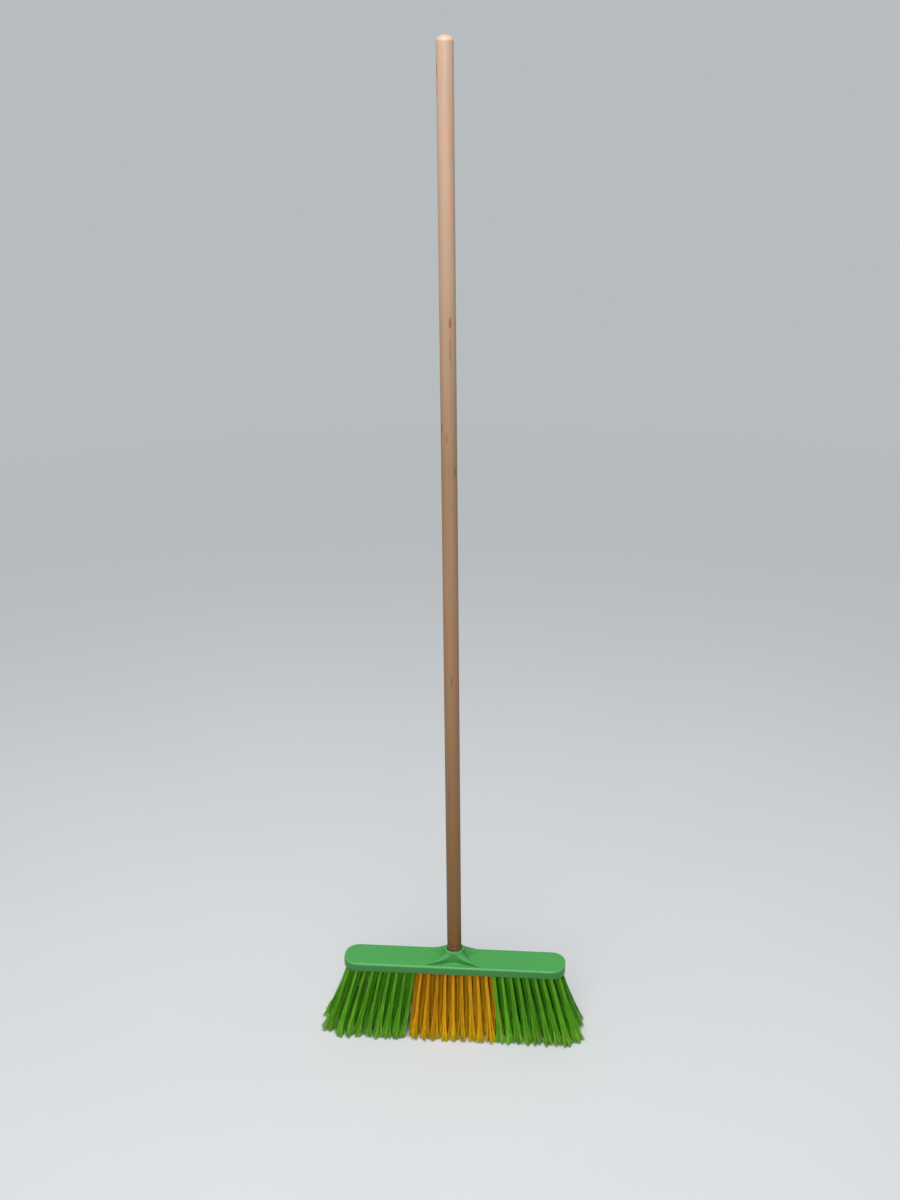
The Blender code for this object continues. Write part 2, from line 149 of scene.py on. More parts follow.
class BristleSettings(bpy.types.PropertyGroup):
    """Places, sizes and colours of the bristle tufts."""

    columns: count("Columns", "Tufts along the front row", 27)
    rows: count("Rows", "Rows of tufts", 4)
    middle_columns: count("Yellow columns", "Columns of the yellow section", 9)
    length: distance("Length", "Bristle length below the block", block_low.z)
    end_inset: distance("End inset", "From the block's end to the last tuft", 9.7 * MM)
    side_inset: distance("Side inset", "From the block's side to the outer row", 7 * MM)
    fan_left: distance("Fan, left", "How far the left end's tufts lean out", 35.5 * MM)
    fan_right: distance("Fan, right", "How far the right end's tufts lean out", 31.5 * MM)
    fan_sides: distance("Fan, sides", "How far the back row leans out at its tips", 9.5 * MM)
    splay_left: distance("Splay, left", "How much wider the left end has spread", 8 * MM)
    splay_right: distance("Splay, right", "How much wider the right end has spread", 1 * MM)
    parting: distance("Parting", "How far the tufts beside the parting have bent", 7.5 * MM)
    parted_width: share("Parted width", "Width that the tufts beside the parting keep", 0.35)
    tuft_radius: distance("Tuft radius", "Radius of a tuft at its hole", 2.5 * MM)
    swelling: distance("Swelling", "How much wider a tuft gets as it leaves its hole", 1 * MM)
    tip_radius: distance("Tip radius", "Radius of a tuft near its tips", 9.6 * MM)
    filament_radius: distance("Filament radius", "Radius of one filament", 0.33 * MM)
    filaments: count("Filaments", "Filaments in one tuft", 54)
    split_ends: count("Split ends", "Fine ends that a tuft's filaments split into at the tips", 54)
    split_start: share("Split start", "Where along the filaments the split ends begin", 0.5)
    clumps: count("Clumps", "Clumps that a tuft's filaments gather in", 7)
    gather: share("Gather", "Width that a clump keeps where it is narrowest", 0.5)
    filament_points: count("Filament points", "Points along one filament", 13)
    split_points: count("Split end points", "Points along one split end", 6)
    embed: distance("Embed", "Length of a tuft inside its hole", 4 * MM)
    trim: distance("Trim", "How much shorter the shortest filaments are", 3.0 * MM)
    tip_dome: distance("Tip dome", "How much shorter a clump's outer filaments are", 1.2 * MM)
    sway: distance("Sway", "How far a tuft's tip strays", 2.0 * MM)
    stray: distance("Stray", "How far a filament's tip strays", 1.2 * MM)
    crimp: distance("Crimp", "Height of the waves in a filament", 0.3 * MM)
    # The roots' colours are lighter than the body: painted light against the shade below the block.
    # The tips' colours are worn and lighter still, partly painted light.
    green: colour("Green", "Green filaments", (0.134, 0.485, 0.0162))
    green_root_with_painted_light: colour("Green, root", "Green filaments at their roots", (0.184, 0.645, 0.020))
    green_tip_worn_and_painted_light: colour("Green, tip", "Green filaments at their tips", (0.31, 0.72, 0.055))
    yellow: colour("Yellow", "Yellow filaments", (0.890, 0.475, 0.0065))
    yellow_root_with_painted_light: colour("Yellow, root", "Yellow filaments at their roots", (1.0, 0.490, 0.007))
    yellow_tip_worn_and_painted_light: colour("Yellow, tip", "Yellow filaments at their tips", (1.0, 0.72, 0.004))


class StageSettings(bpy.types.PropertyGroup):
    """Floor, background and camera."""

    floor_size: distance("Floor size", "Side of the square floor", 60.0)
    floor_colour: colour("Floor", "Floor round the broom", (0.63, 0.65, 0.662))
    floor_bounce: colour("Floor bounce", "Floor as it lights the broom", (0.30, 0.30, 0.30))
    background: colour("Background", "Background behind the broom", (0.475, 0.508, 0.522))
    fade_start: distance("Fade start", "Where the floor begins to fade", 0.5)
    fade_end: distance("Fade end", "Where the floor has become background", 3.4)
    lens: FloatProperty(name="Lens", description="Camera lens in millimetres", default=48.07)
    camera_place: FloatVectorProperty(
        name="Camera place", description="Where the camera stands", subtype="TRANSLATION",
        default=(0.1872, -2.0755, 1.6457),
    )
    camera_turn: FloatVectorProperty(
        name="Camera turn", description="Camera's yaw, pitch down and roll", subtype="EULER",
        default=(math.radians(5.179), math.radians(23.420), math.radians(-0.624)),
    )


class Wire:
    """A node's output that can stand in a sum."""

    def __init__(self, graph, socket):
        self.graph = graph
        self.socket = socket

    def beside(self, output):
        """Another output of the same node."""
        return Wire(self.graph, pick(self.socket.node.outputs, output))

    def __add__(self, other):
        return self.graph.maths("ADD", self, other)

    __radd__ = __add__

    def __sub__(self, other):
        return self.graph.maths("SUBTRACT", self, other)

    def __rsub__(self, other):
        return self.graph.maths("SUBTRACT", other, self)

    def __mul__(self, other):
        if is_vector(self) and not is_vector(other):
            settings = {"operation": "SCALE"}
            return self.graph.node("ShaderNodeVectorMath", settings, {0: self, "Scale": other})
        return self.graph.maths("MULTIPLY", self, other)

    __rmul__ = __mul__

    def __truediv__(self, other):
        return self.graph.maths("DIVIDE", self, other)

    def __rtruediv__(self, other):
        return self.graph.maths("DIVIDE", other, self)

    def __pow__(self, other):
        return self.graph.maths("POWER", self, other)


class Graph:
    """A node tree whose nodes all come from one method."""

    def __init__(self, tree):
        self.tree = tree

    def node(self, kind, settings=None, sockets=None, output=0):
        """Adds a node: its settings first, then the values or links of its sockets."""
        made = self.tree.nodes.new(kind)
        for name, value in (settings or {}).items():
            if name == "stops":
                set_stops(made.color_ramp, value)
            else:
                setattr(made, name, value)
        for name, value in (sockets or {}).items():
            socket = pick(made.inputs, name)
            if isinstance(value, Wire):
                self.tree.links.new(value.socket, socket)
            else:
                socket.default_value = value
        return Wire(self, pick(made.outputs, output)) if made.outputs else None

    def given(self, name):
        """One of the tree's own named inputs."""
        return self.node("NodeGroupInput", output=name)

    def maths(self, operation, *values):
        """A Math node, or a Vector Math node where one of the values is a vector."""
        vector = any(is_vector(value) for value in values)
        kind = "ShaderNodeVectorMath" if vector else "ShaderNodeMath"
        return self.node(kind, {"operation": operation}, dict(enumerate(values)))

    def smooth(self, value, low, high, to_low=0.0, to_high=1.0):
        """Rises softly from to_low to to_high while the value goes from low to high."""
        limits = {"From Min": low, "From Max": high, "To Min": to_low, "To Max": to_high}
        return self.node(
            "ShaderNodeMapRange", {"interpolation_type": "SMOOTHSTEP"}, {"Value": value, **limits},
        )

    def vector(self, x=0.0, y=0.0, z=0.0):
        return self.node("ShaderNodeCombineXYZ", {}, {"X": x, "Y": y, "Z": z})

    def parts(self, vector):
        """The x, y and z of a vector."""
        x = self.node("ShaderNodeSeparateXYZ", {}, {0: vector})
        return x, x.beside("Y"), x.beside("Z")

    def place(self):
        """Where a point lies on its object."""
        return self.node("ShaderNodeTexCoord", output="Object")

    def attribute(self, name):
        return self.node("ShaderNodeAttribute", {"attribute_name": name}, {}, "Fac")

    def noise(self, place, scale, detail=2.0, roughness=0.5, distortion=0.0):
        """Noise over a place. A scale of three numbers stretches it along the axes."""
        if isinstance(scale, tuple):
            place, scale = place * scale, 1.0
        return self.node(
            "ShaderNodeTexNoise", {},
            {
                "Vector": place, "Scale": scale, "Detail": detail, "Roughness": roughness,
                "Distortion": distortion,
            },
            "Fac",
        )

    def blend(self, factor, first, second, mode="MIX"):
        """Mixes two colours."""
        return self.node(
            "ShaderNodeMix", {"data_type": "RGBA", "blend_type": mode},
            {"Factor": factor, "A": opaque(first), "B": opaque(second)}, "Result",
        )

    def lit(self, plain, lightness, factor=1.0):
        """A colour times a lightness, in full or by a factor."""
        grey = dict.fromkeys(("Red", "Green", "Blue"), lightness)
        grey = self.node("ShaderNodeCombineColor", {}, grey)
        return self.blend(factor, plain, grey, "MULTIPLY")

    def bump(self, height, strength, depth):
        return self.node(
            "ShaderNodeBump", {}, {"Strength": strength, "Distance": depth, "Height": height},
        )

    def surface(self, sockets):
        """Ends a material with its shader."""
        shader = self.node("ShaderNodeBsdfPrincipled", {}, sockets)
        self.node("ShaderNodeOutputMaterial", {}, {"Surface": shader})

    def shape(self, geometry):
        """Ends a geometry tree with plain faces in the given material."""
        geometry = self.node("GeometryNodeRealizeInstances", {}, {"Geometry": geometry})
        geometry = self.node(
            "GeometryNodeSetMaterial", {},
            {"Geometry": geometry, "Material": self.given("Material")},
        )
        self.node("NodeGroupOutput", {}, {"Geometry": geometry})


def pick(sockets, name):
    """The socket in use with that name or number."""
    if isinstance(name, int):
        return sockets[name]
    return next(socket for socket in sockets if socket.name == name and socket.enabled)


def is_vector(value):
    if isinstance(value, Wire):
        return value.socket.type == "VECTOR"
    return isinstance(value, (tuple, Vector))


def opaque(value):
    """A plain colour with its fourth number, or the wire as it is."""
    return value if isinstance(value, Wire) else (*value, 1.0)


def set_stops(color_ramp, stops):
    while len(color_ramp.elements) < len(stops):
        color_ramp.elements.new(1.0)
    for element, (place, value) in zip(color_ramp.elements, stops):
        element.position = place
        element.color = opaque(value)


def new_material(name):
    material = bpy.data.materials.new(name)
    material.use_nodes = True
    material.node_tree.nodes.clear()
    return material, Graph(material.node_tree)


def new_geometry_tree(name, **inputs):
    """A geometry node group. The names of its inputs are given for each type of socket."""
    tree = bpy.data.node_groups.new(name, "GeometryNodeTree")
    tree.is_modifier = True
    tree.interface.new_socket("Geometry", in_out="OUTPUT", socket_type="NodeSocketGeometry")
    for kind, labels in {"Geometry": ["Geometry"], "Material": ["Material"], **inputs}.items():
        for label in labels:
            tree.interface.new_socket(label, in_out="INPUT", socket_type=f"NodeSocket{kind}")
    return tree


def add_nodes_modifier(obj, tree, values):
    """Puts the node group on the object and sets its inputs by their identifiers."""
    modifier = obj.modifiers.new(tree.name, "NODES")
    modifier.node_group = tree
    for item in tree.interface.items_tree:
        if item.in_out == "INPUT" and item.name in values:
            modifier[item.identifier] = values[item.name]


def add_object(name, mesh):
    obj = bpy.data.objects.new(name, mesh)
    bpy.context.scene.collection.objects.link(obj)
    return obj


def settled(obj, name, spare_attributes):
    """A plain object with the evaluated mesh of obj, which it takes the place of."""
    graph = bpy.context.evaluated_depsgraph_get()
    mesh = bpy.data.meshes.new_from_object(obj.evaluated_get(graph))
    mesh.name = name
    source = obj.data
    bpy.data.objects.remove(obj, do_unlink=True)
    bpy.data.meshes.remove(source)
    for attribute in spare_attributes:
        if attribute in mesh.attributes:
            mesh.attributes.remove(mesh.attributes[attribute])
    return add_object(name, mesh)


def store_points(mesh, name, values, kind="FLOAT"):
    """Stores a number for each point, or with FLOAT_VECTOR three of them in a row."""
    field = "vector" if kind == "FLOAT_VECTOR" else "value"
    mesh.attributes.new(name, kind, "POINT").data.foreach_set(field, values)


def shade(mesh):
    mesh.shade_smooth()
    mesh.set_sharp_from_angle(angle=SHARP_ANGLE)


def circle(radius, height, steps, centre=(0.0, 0.0)):
    angles = [TURN * step / steps for step in range(steps)]
    return [
        (centre[0] + radius * math.cos(angle), centre[1] + radius * math.sin(angle), height)
        for angle in angles
    ]


def quarter_arc(steps):
    """(cosine, sine) at each step of a quarter turn."""
    angles = [TURN / 4 * step / steps for step in range(steps + 1)]
    return [(math.cos(angle), math.sin(angle)) for angle in angles]


def add_ring(work, points):
    return [work.verts.new(point) for point in points]


def around(ring):
    """Each member of a closed ring with the next one."""
    return zip(ring, ring[1:] + ring[:1])


def skin_all(work, rings):
    """Quads between closed rings with as many points each."""
    for lower, upper in zip(rings, rings[1:]):
        for (first, second), (above_first, above_second) in zip(around(lower), around(upper)):
            work.faces.new((first, second, above_second, above_first))


def fill_between(work, rings):
    """Fills a level face that is bounded by closed rings."""
    edges = [
        work.edges.get(ends) or work.edges.new(ends) for ring in rings for ends in around(ring)
    ]
    bmesh.ops.triangle_fill(work, use_beauty=True, edges=edges, normal=(0, 0, 1))


def fan(work, ring, point):
    """Closes a ring with triangles that meet in one point."""
    middle = work.verts.new(point)
    for first, second in around(ring):
        work.faces.new((first, second, middle))


def finished_mesh(work, name):
    bmesh.ops.remove_doubles(work, verts=work.verts, dist=WELD_DISTANCE)
    bmesh.ops.recalc_face_normals(work, faces=work.faces)
    mesh = bpy.data.meshes.new(name)
    work.to_mesh(mesh)
    work.free()
    return mesh


def winding_thread_tree():
    """Winds a tooth, or with a bore a groove, round a turned surface.

    The points move out where their "threaded" attribute is above 0, in full where it is 1.
    """
    graph = Graph(new_geometry_tree(
        "Winding thread", Float=("Start", "Pitch", "Depth", "Foot Width", "Crest Width"),
    ))
    given = graph.given
    x, y, z = graph.parts(graph.node("GeometryNodeInputPosition"))
    turns = graph.maths("ARCTAN2", y, x) / TURN
    phase = (z - given("Start")) / given("Pitch") - turns
    off_centre = phase - graph.maths("ROUND", phase)
    off_centre = graph.maths("ABSOLUTE", off_centre) * given("Pitch")
    tooth = graph.smooth(off_centre, given("Foot Width") / 2, given("Crest Width") / 2)
    threaded = graph.node("GeometryNodeInputNamedAttribute", {}, {"Name": "threaded"})
    rise = tooth * threaded * given("Depth")
    outwards = graph.maths("NORMALIZE", graph.vector(x, y))
    graph.shape(graph.node(
        "GeometryNodeSetPosition", {}, {"Geometry": given("Geometry"), "Offset": outwards * rise},
    ))
    return graph.tree


def wind_thread(obj, stick, depth, material):
    """Puts the stick's thread, or its groove, on an object with a "threaded" attribute."""
    values = {
        "Start": stick.bottom + stick.end_chamfer + stick.foot_width / 2,
        "Pitch": stick.thread_pitch, "Depth": depth,
        "Foot Width": stick.foot_width, "Crest Width": stick.crest_width, "Material": material,
    }
    add_nodes_modifier(obj, winding_thread_tree(), values)


STICK_LEVEL_STEP = 0.45 * MM
STICK_LENGTH_STEPS = 24
DOME_STEPS = 12


def stick_profile(stick):
    """(radius, height above the stick's lower end) from the chamfer to below the top point."""
    radius = stick.diameter / 2
    root = radius - stick.thread_depth
    profile = [(root - stick.end_chamfer, 0.0)]
    steps = round((stick.thread_length - stick.end_chamfer) / STICK_LEVEL_STEP)
    for step in range(steps + 1):
        height = stick.end_chamfer + (stick.thread_length - stick.end_chamfer) * step / steps
        profile.append((max(root, radius - (stick.thread_length - height)), height))
    dome_foot = stick.length - stick.dome_height
    for step in range(1, STICK_LENGTH_STEPS + 1):
        part = step / STICK_LENGTH_STEPS
        profile.append((radius, stick.thread_length + (dome_foot - stick.thread_length) * part))
    for cosine, sine in quarter_arc(DOME_STEPS)[1:-1]:
        profile.append((radius * cosine, dome_foot + stick.dome_height * sine))
    return profile


def make_stick_mesh(stick):
    work = bmesh.new()
    rings = [
        add_ring(work, circle(radius, stick.bottom + height, stick.sides))
        for radius, height in stick_profile(stick)
    ]
    skin_all(work, rings)
    fan(work, rings[0], (0, 0, stick.bottom))
    fan(work, rings[-1], (0, 0, stick.bottom + stick.length))
    mesh = finished_mesh(work, "wooden_stick")
    threaded = []
    for vert in mesh.vertices:
        height = vert.co.z - stick.bottom
        sunk = (stick.diameter / 2 - vert.co.xy.length) / stick.thread_depth if height > 0 else 0.0
        started = (height - stick.end_chamfer) / stick.crest_width
        below_top = 1.0 if height < stick.thread_length else 0.0
        threaded.append(max(0.0, min(1.0, sunk, started)) * below_top)
    store_points(mesh, "threaded", threaded)
    return mesh


# How far up the stick its colours lie, and how far they drift from there. The colours carry painted
# shade: they darken from the top down and are darkest next to the socket, which shades the stick.
WOOD_TONES_AND_SHADE = (
    (0.03, "wood_socket_shade"), (0.27, "wood_low"), (0.45, "wood_middle"),
    (0.60, "wood_middle"), (0.78, "wood_high"), (0.93, "wood_top"),
)
WOOD_DRIFT = 0.09
# Noises of the wood: scales along x, y and z, detail, roughness and distortion
LONG_STREAKS = ((260.0, 260.0, 7.0), 3.0, 0.6)
FINE_GRAIN = ((900.0, 900.0, 22.0), 4.0, 0.65)
GROWTH_RINGS = ((420.0, 150.0, 2.2), 1.0, 0.5, 1.2)
TINT_PATCHES = ((95.0, 95.0, 17.0), 3.0, 0.55, 0.6)
PORES = ((1900.0, 1900.0, 95.0), 1.0, 0.5)
KNOT_EDGE = ((700.0, 700.0, 260.0), 2.0)
KNOT_RAGGEDNESS = 1.2
# Where a mask begins and where it is in full
KNOT_FADE = (1.1, 0.1)
PORE_FADE = (0.66, 0.76)
PATCH_FADE = (0.35, 0.65)
PINKISH = (1.08, 0.96, 0.88)
STRAW = (0.95, 1.03, 0.99)
FIGURE_STRENGTH = 0.75
PORE_STRENGTH = 0.35
KNOT_STRENGTH = 0.62
# Painted shade on the domed top, which tones down the light that it catches from above
DOME_SHADE_STRENGTH = 0.42
# Painted shade in the thread's root
THREAD_ROOT_SHADE_STRENGTH = 0.6
# Small knots and flecks: degrees round the stick from +X, height, half width and half height
KNOTS = (
    (200, 1.459, 2.6 * MM, 13 * MM),
    (197, 1.436, 2.2 * MM, 6 * MM),
    (292, 1.143, 2.4 * MM, 9 * MM),
    (290, 1.106, 1.0 * MM, 24 * MM),
    (214, 0.998, 2.4 * MM, 9 * MM),
    (316, 0.936, 2.2 * MM, 10 * MM),
    (258, 0.985, 1.1 * MM, 7 * MM),
    (276, 0.62, 1.2 * MM, 10 * MM),
    (243, 0.43, 1.6 * MM, 12 * MM),
    (20, 1.21, 2.4 * MM, 10 * MM),
    (75, 0.83, 2.6 * MM, 12 * MM),
    (118, 1.32, 2.0 * MM, 9 * MM),
    (150, 0.57, 2.4 * MM, 11 * MM),
)


def knot_mask(graph, place, stick):
    """1 in the middle of each small knot, with a ragged edge."""
    x, y, z = graph.parts(place)
    radius = stick.diameter / 2
    ragged = (graph.noise(place, *KNOT_EDGE) - 0.5) * KNOT_RAGGEDNESS
    mask = 0.0
    for degrees, height, half_width, half_height in KNOTS:
        angle = math.radians(degrees)
        off_x = x - radius * math.cos(angle)
        off_y = y - radius * math.sin(angle)
        off_z = (z - height) / half_height
        off = (off_x * off_x + off_y * off_y) / half_width ** 2 + off_z * off_z + ragged
        mask = graph.maths("MAXIMUM", mask, graph.smooth(off, *KNOT_FADE))
    return mask


def wood_material(stick):
    """Fine-sanded hardwood: long grain, pinkish and straw patches, pores, knots, a thin varnish."""
    material, graph = new_material("stick_wood_finish")
    place = graph.place()
    x, y, height = graph.parts(place)
    risen = (height - stick.bottom) / stick.length + (graph.noise(place, 9.0) - 0.5) * WOOD_DRIFT
    # Painted shade: the ramp darkens the wood from the top of the stick down to the socket
    stops = [(share_up, getattr(stick, name)) for share_up, name in WOOD_TONES_AND_SHADE]
    body = graph.node("ShaderNodeValToRGB", {"stops": stops}, {"Fac": risen}, "Color")
    patches = graph.smooth(graph.noise(place, *TINT_PATCHES), *PATCH_FADE)
    body = graph.blend(1.0, body, graph.blend(patches, PINKISH, STRAW), "MULTIPLY")
    streaks = graph.noise(place, *LONG_STREAKS)
    grain = graph.noise(place, *FINE_GRAIN)
    rings = graph.noise(place, *GROWTH_RINGS)
    figure = 0.62 + streaks * 0.42 + grain * 0.22 + rings * 0.14
    body = graph.lit(body, figure, FIGURE_STRENGTH)
    pores = graph.smooth(graph.noise(place, *PORES), *PORE_FADE)
    body = graph.blend(pores * PORE_STRENGTH, body, stick.knot)
    # Painted shade: the domed top is darkened towards the lower wood's colour
    top = stick.bottom + stick.length
    dome_shade = graph.smooth(height, top - stick.dome_height, top - stick.dome_height * 0.2)
    body = graph.blend(dome_shade * DOME_SHADE_STRENGTH, body, stick.wood_low)
    knots = knot_mask(graph, place, stick) * KNOT_STRENGTH
    body = graph.blend(knots, body, stick.knot)
    # Painted shade: the wood sunk in the thread's root is darkened
    crest = stick.diameter / 2 - stick.crest_relief
    from_axis = graph.maths("SQRT", x * x + y * y)
    sunk = graph.smooth(from_axis, crest, crest - stick.thread_depth * 0.8)
    thread_top = stick.bottom + stick.thread_length
    in_thread = sunk * graph.smooth(height, thread_top, thread_top - MM)
    body = graph.blend(in_thread * THREAD_ROOT_SHADE_STRENGTH, body, stick.shaded_wood)
    relief = grain * 0.5 + streaks * 0.35 - pores * 0.6 - knots * 0.5
    graph.surface({
        "Base Color": body, "Roughness": 0.40 + grain * 0.16 + in_thread * 0.2,
        "Specular IOR Level": 0.42, "Coat Weight": 0.08, "Coat Roughness": 0.25,
        "Normal": graph.bump(relief, 0.35, 0.15 * MM),
    })
    return material


class BROOM_OT_make_stick(bpy.types.Operator):
    """Turn the wooden stick with its rounded top and its thread"""

    bl_idname = "broom.make_stick"
    bl_label = "Make the stick"

    def execute(self, context):
        stick = context.scene.broom_stick
        blank = add_object("stick_blank", make_stick_mesh(stick))
        wind_thread(blank, stick, stick.thread_depth - stick.crest_relief, wood_material(stick))
        piece = settled(blank, "wooden_stick", ("threaded",))
        shade(piece.data)
        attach(piece, "stick")
        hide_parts("handle")
        return {"FINISHED"}


CORNER_STEPS = 20
EDGE_STEPS = 8
NOSE_STEPS = 12
FACE_STEPS = 21
SOCKET_STEPS = 4 * (NOSE_STEPS + 2 * FACE_STEPS)
SOCKET_LEVELS = 30
BORE_LEVEL_STEP = 0.5 * MM
HOLE_STEPS = 14
SUPPORT = 0.4 * MM
# How steeply a gusset and the faces between two of them run out towards the foot
GUSSET_SWEEP_POWER = 1.85
GUSSET_SPREAD_POWER = 0.85
END_FACE_POWER = 2.2
FOOT_POWER = 12
FOOT_SOFTNESS = 0.045
# A gusset's rounded nose at the rim, and how it closes and turns towards the foot
NOSE_DIRECTION = math.radians(45)
NOSE_TURN = math.radians(30)
NOSE_HALF_ANGLE = math.radians(10)
NOSE_CLOSING = math.radians(75)
NOSE_CLOSING_POWER = 0.7
# Length of a face's handles, so that the face is an arc at the rim
FACE_HANDLE = 0.341


def arc(centre, radius, angles):
    x, y = centre
    return [(x + radius * math.cos(angle), y + radius * math.sin(angle)) for angle in angles]


def curved_face(start, start_direction, end, end_direction):
    """Points of a smooth curve between two places, without its last one."""
    handle = FACE_HANDLE * math.dist(start, end)
    corners = (
        start,
        tuple(a + handle * b for a, b in zip(start, start_direction)),
        tuple(a - handle * b for a, b in zip(end, end_direction)),
        end,
    )
    points = []
    for step in range(FACE_STEPS):
        part = step / FACE_STEPS
        rest = 1 - part
        weights = (rest ** 3, 3 * rest * rest * part, 3 * rest * part * part, part ** 3)
        points.append(tuple(
            sum(weight * corner[axis] for weight, corner in zip(weights, corners))
            for axis in range(2)
        ))
    return points


def socket_ring(block, top, level):
    """One section of the socket's outside; level 0 is the foot and 1 the rim's shoulder.

    Each quarter runs from the face towards the block's end, round a gusset's nose, and on along
    the face towards the block's long side.
    """
    out = 1 - level
    radius = block.socket_radius
    flare = block.foot_round * out ** FOOT_POWER
    ridge_x = radius * math.cos(NOSE_DIRECTION) + block.gusset_length * out ** GUSSET_SWEEP_POWER
    ridge_y = radius * math.sin(NOSE_DIRECTION) + block.gusset_spread * out ** GUSSET_SPREAD_POWER
    direction = NOSE_DIRECTION - NOSE_TURN * out
    half_angle = NOSE_HALF_ANGLE + NOSE_CLOSING * out ** NOSE_CLOSING_POWER
    nose_radius = radius * NOSE_HALF_ANGLE / half_angle
    middle = (
        ridge_x - nose_radius * math.cos(direction), ridge_y - nose_radius * math.sin(direction),
    )
    turns = [direction + half_angle * (2 * step / NOSE_STEPS - 1) for step in range(NOSE_STEPS + 1)]
    nose = arc(middle, nose_radius, turns)
    before = direction - half_angle
    after = direction + half_angle
    end_face = (radius + flare + block.end_face * out ** END_FACE_POWER, 0.0)
    long_face = (0.0, radius + flare)
    quarter = curved_face(end_face, (0, 1), nose[0], (-math.sin(before), math.cos(before)))
    quarter += nose[:-1]
    quarter += curved_face(nose[-1], (-math.sin(after), math.cos(after)), long_face, (-1, 0))
    half = quarter + [long_face] + [(-x, y) for x, y in reversed(quarter[1:])]
    rise = block.socket_height - block.rim_round
    height = top + rise * level * level * (1 + FOOT_SOFTNESS) / (level + FOOT_SOFTNESS)
    return [(x, y, height) for x, y in half] + [(-x, -y, height) for x, y in half]


def widened(points, distance_out):
    """The ring moved outwards in its own plane."""
    wider = []
    for before, (x, y, z), after in zip(points[-1:] + points, points, points[1:] + points[:1]):
        step_x = after[0] - before[0]
        step_y = after[1] - before[1]
        scale = distance_out / math.hypot(step_x, step_y)
        wider.append((x + step_y * scale, y - step_x * scale, z))
    return wider


def plate_ring(block, inset, height):
    """The plate's outline, drawn in by the inset."""
    points = []
    for corner, (side_x, side_y) in enumerate(((1, 1), (-1, 1), (-1, -1), (1, -1))):
        centre = (
            side_x * (block.length / 2 - block.corner_radius),
            side_y * (block.width / 2 - block.corner_radius),
        )
        angles = [TURN / 4 * (corner + step / CORNER_STEPS) for step in range(CORNER_STEPS + 1)]
        points += [(x, y, height) for x, y in arc(centre, block.corner_radius - inset, angles)]
    return points


def bore_rings(block, top):
    """Rings of the bore, from its floor up to the lead-in's mouth."""
    floor = top - block.socket_floor
    rim = top + block.socket_height
    depth = rim - block.lead_in - floor
    steps = round(depth / BORE_LEVEL_STEP)
    rings = [
        circle(block.bore_radius, floor + depth * step / steps, SOCKET_STEPS)
        for step in range(steps + 1)
    ]
    return rings + [circle(block.bore_radius + block.lead_in, rim, SOCKET_STEPS)]


def rim_rings(block, top):
    """Rings over the socket's rim, from the flat to the outer wall."""
    rim = top + block.socket_height
    return [
        circle(
            block.socket_radius - block.rim_round * (1 - sine),
            rim - block.rim_round * (1 - cosine), SOCKET_STEPS,
        )
        for cosine, sine in quarter_arc(EDGE_STEPS)[:-1]
    ]


def plate_side_rings(block, top):
    """Rings round the plate, from the flat top over the edge and down to the flat underside."""
    rings = [plate_ring(block, block.edge_round + SUPPORT, top)]
    for cosine, sine in quarter_arc(EDGE_STEPS):
        height = top - block.edge_round * (1 - cosine)
        rings.append(plate_ring(block, block.edge_round * (1 - sine), height))
    for cosine, sine in quarter_arc(EDGE_STEPS // 2):
        height = block.underside + block.lower_round * (1 - sine)
        rings.append(plate_ring(block, block.lower_round * (1 - cosine), height))
    rings.append(plate_ring(block, block.lower_round + SUPPORT, block.underside))
    return rings


def add_tuft_hole(work, block, x, y):
    """A blind hole with a chamfered mouth. Returns the ring at its mouth."""
    rings = []
    for lead, depth in ((block.hole_lead, 0.0), (0.0, block.hole_lead), (0.0, block.hole_depth)):
        radius, height = block.hole_radius + lead, block.underside + depth
        rings.append(add_ring(work, circle(radius, height, HOLE_STEPS, (x, y))))
    skin_all(work, rings)
    work.faces.new(rings[-1])
    return rings[0]


def edge_wear(block, place, top):
    """1 on the rounded edges that get knocked, and 0 on the flats."""
    inset = min(block.width / 2 - abs(place.y), block.length / 2 - abs(place.x))
    corner_x = abs(place.x) - (block.length / 2 - block.corner_radius)
    corner_y = abs(place.y) - (block.width / 2 - block.corner_radius)
    if corner_x > 0 and corner_y > 0:
        inset = block.corner_radius - math.hypot(corner_x, corner_y)
    on_edge = 0 < inset < block.edge_round and 0 < top - place.z < block.edge_round
    rim_low = top + block.socket_height - block.rim_round
    on_rim = place.z > rim_low and place.xy.length > block.bore_radius + block.lead_in / 2
    return 1.0 if on_edge or on_rim else 0.0


def in_bore(block, place, top):
    """1 on the wall of the bore, which the thread's groove is cut into, and 0 elsewhere."""
    on_wall = abs(place.xy.length - block.bore_radius) < SUPPORT
    lowest = top - block.socket_floor + SUPPORT
    highest = top + block.socket_height - block.lead_in / 2
    return 1.0 if on_wall and lowest < place.z < highest else 0.0


def make_block_mesh(block, bristles):
    """The block as one closed body: bore, rim, socket, plate and the underside with its holes."""
    top = block.underside + block.thickness
    levels = [level / SOCKET_LEVELS for level in range(SOCKET_LEVELS, -1, -1)]
    socket = bore_rings(block, top) + rim_rings(block, top)
    socket += [socket_ring(block, top, level) for level in levels]
    socket.append(widened(socket[-1], SUPPORT))
    work = bmesh.new()
    socket = [add_ring(work, points) for points in socket]
    plate = [add_ring(work, points) for points in plate_side_rings(block, top)]
    skin_all(work, socket)
    work.faces.new(socket[0])
    skin_all(work, plate)
    fill_between(work, [socket[-1], plate[0]])
    mouths = [add_tuft_hole(work, block, x, y) for _, _, x, y in tuft_places(block, bristles)]
    fill_between(work, [plate[-1], *mouths])
    mesh = finished_mesh(work, "moulded_block")
    store_points(mesh, "threaded", [in_bore(block, vert.co, top) for vert in mesh.vertices])
    store_points(mesh, "worn", [edge_wear(block, vert.co, top) for vert in mesh.vertices])
    return mesh


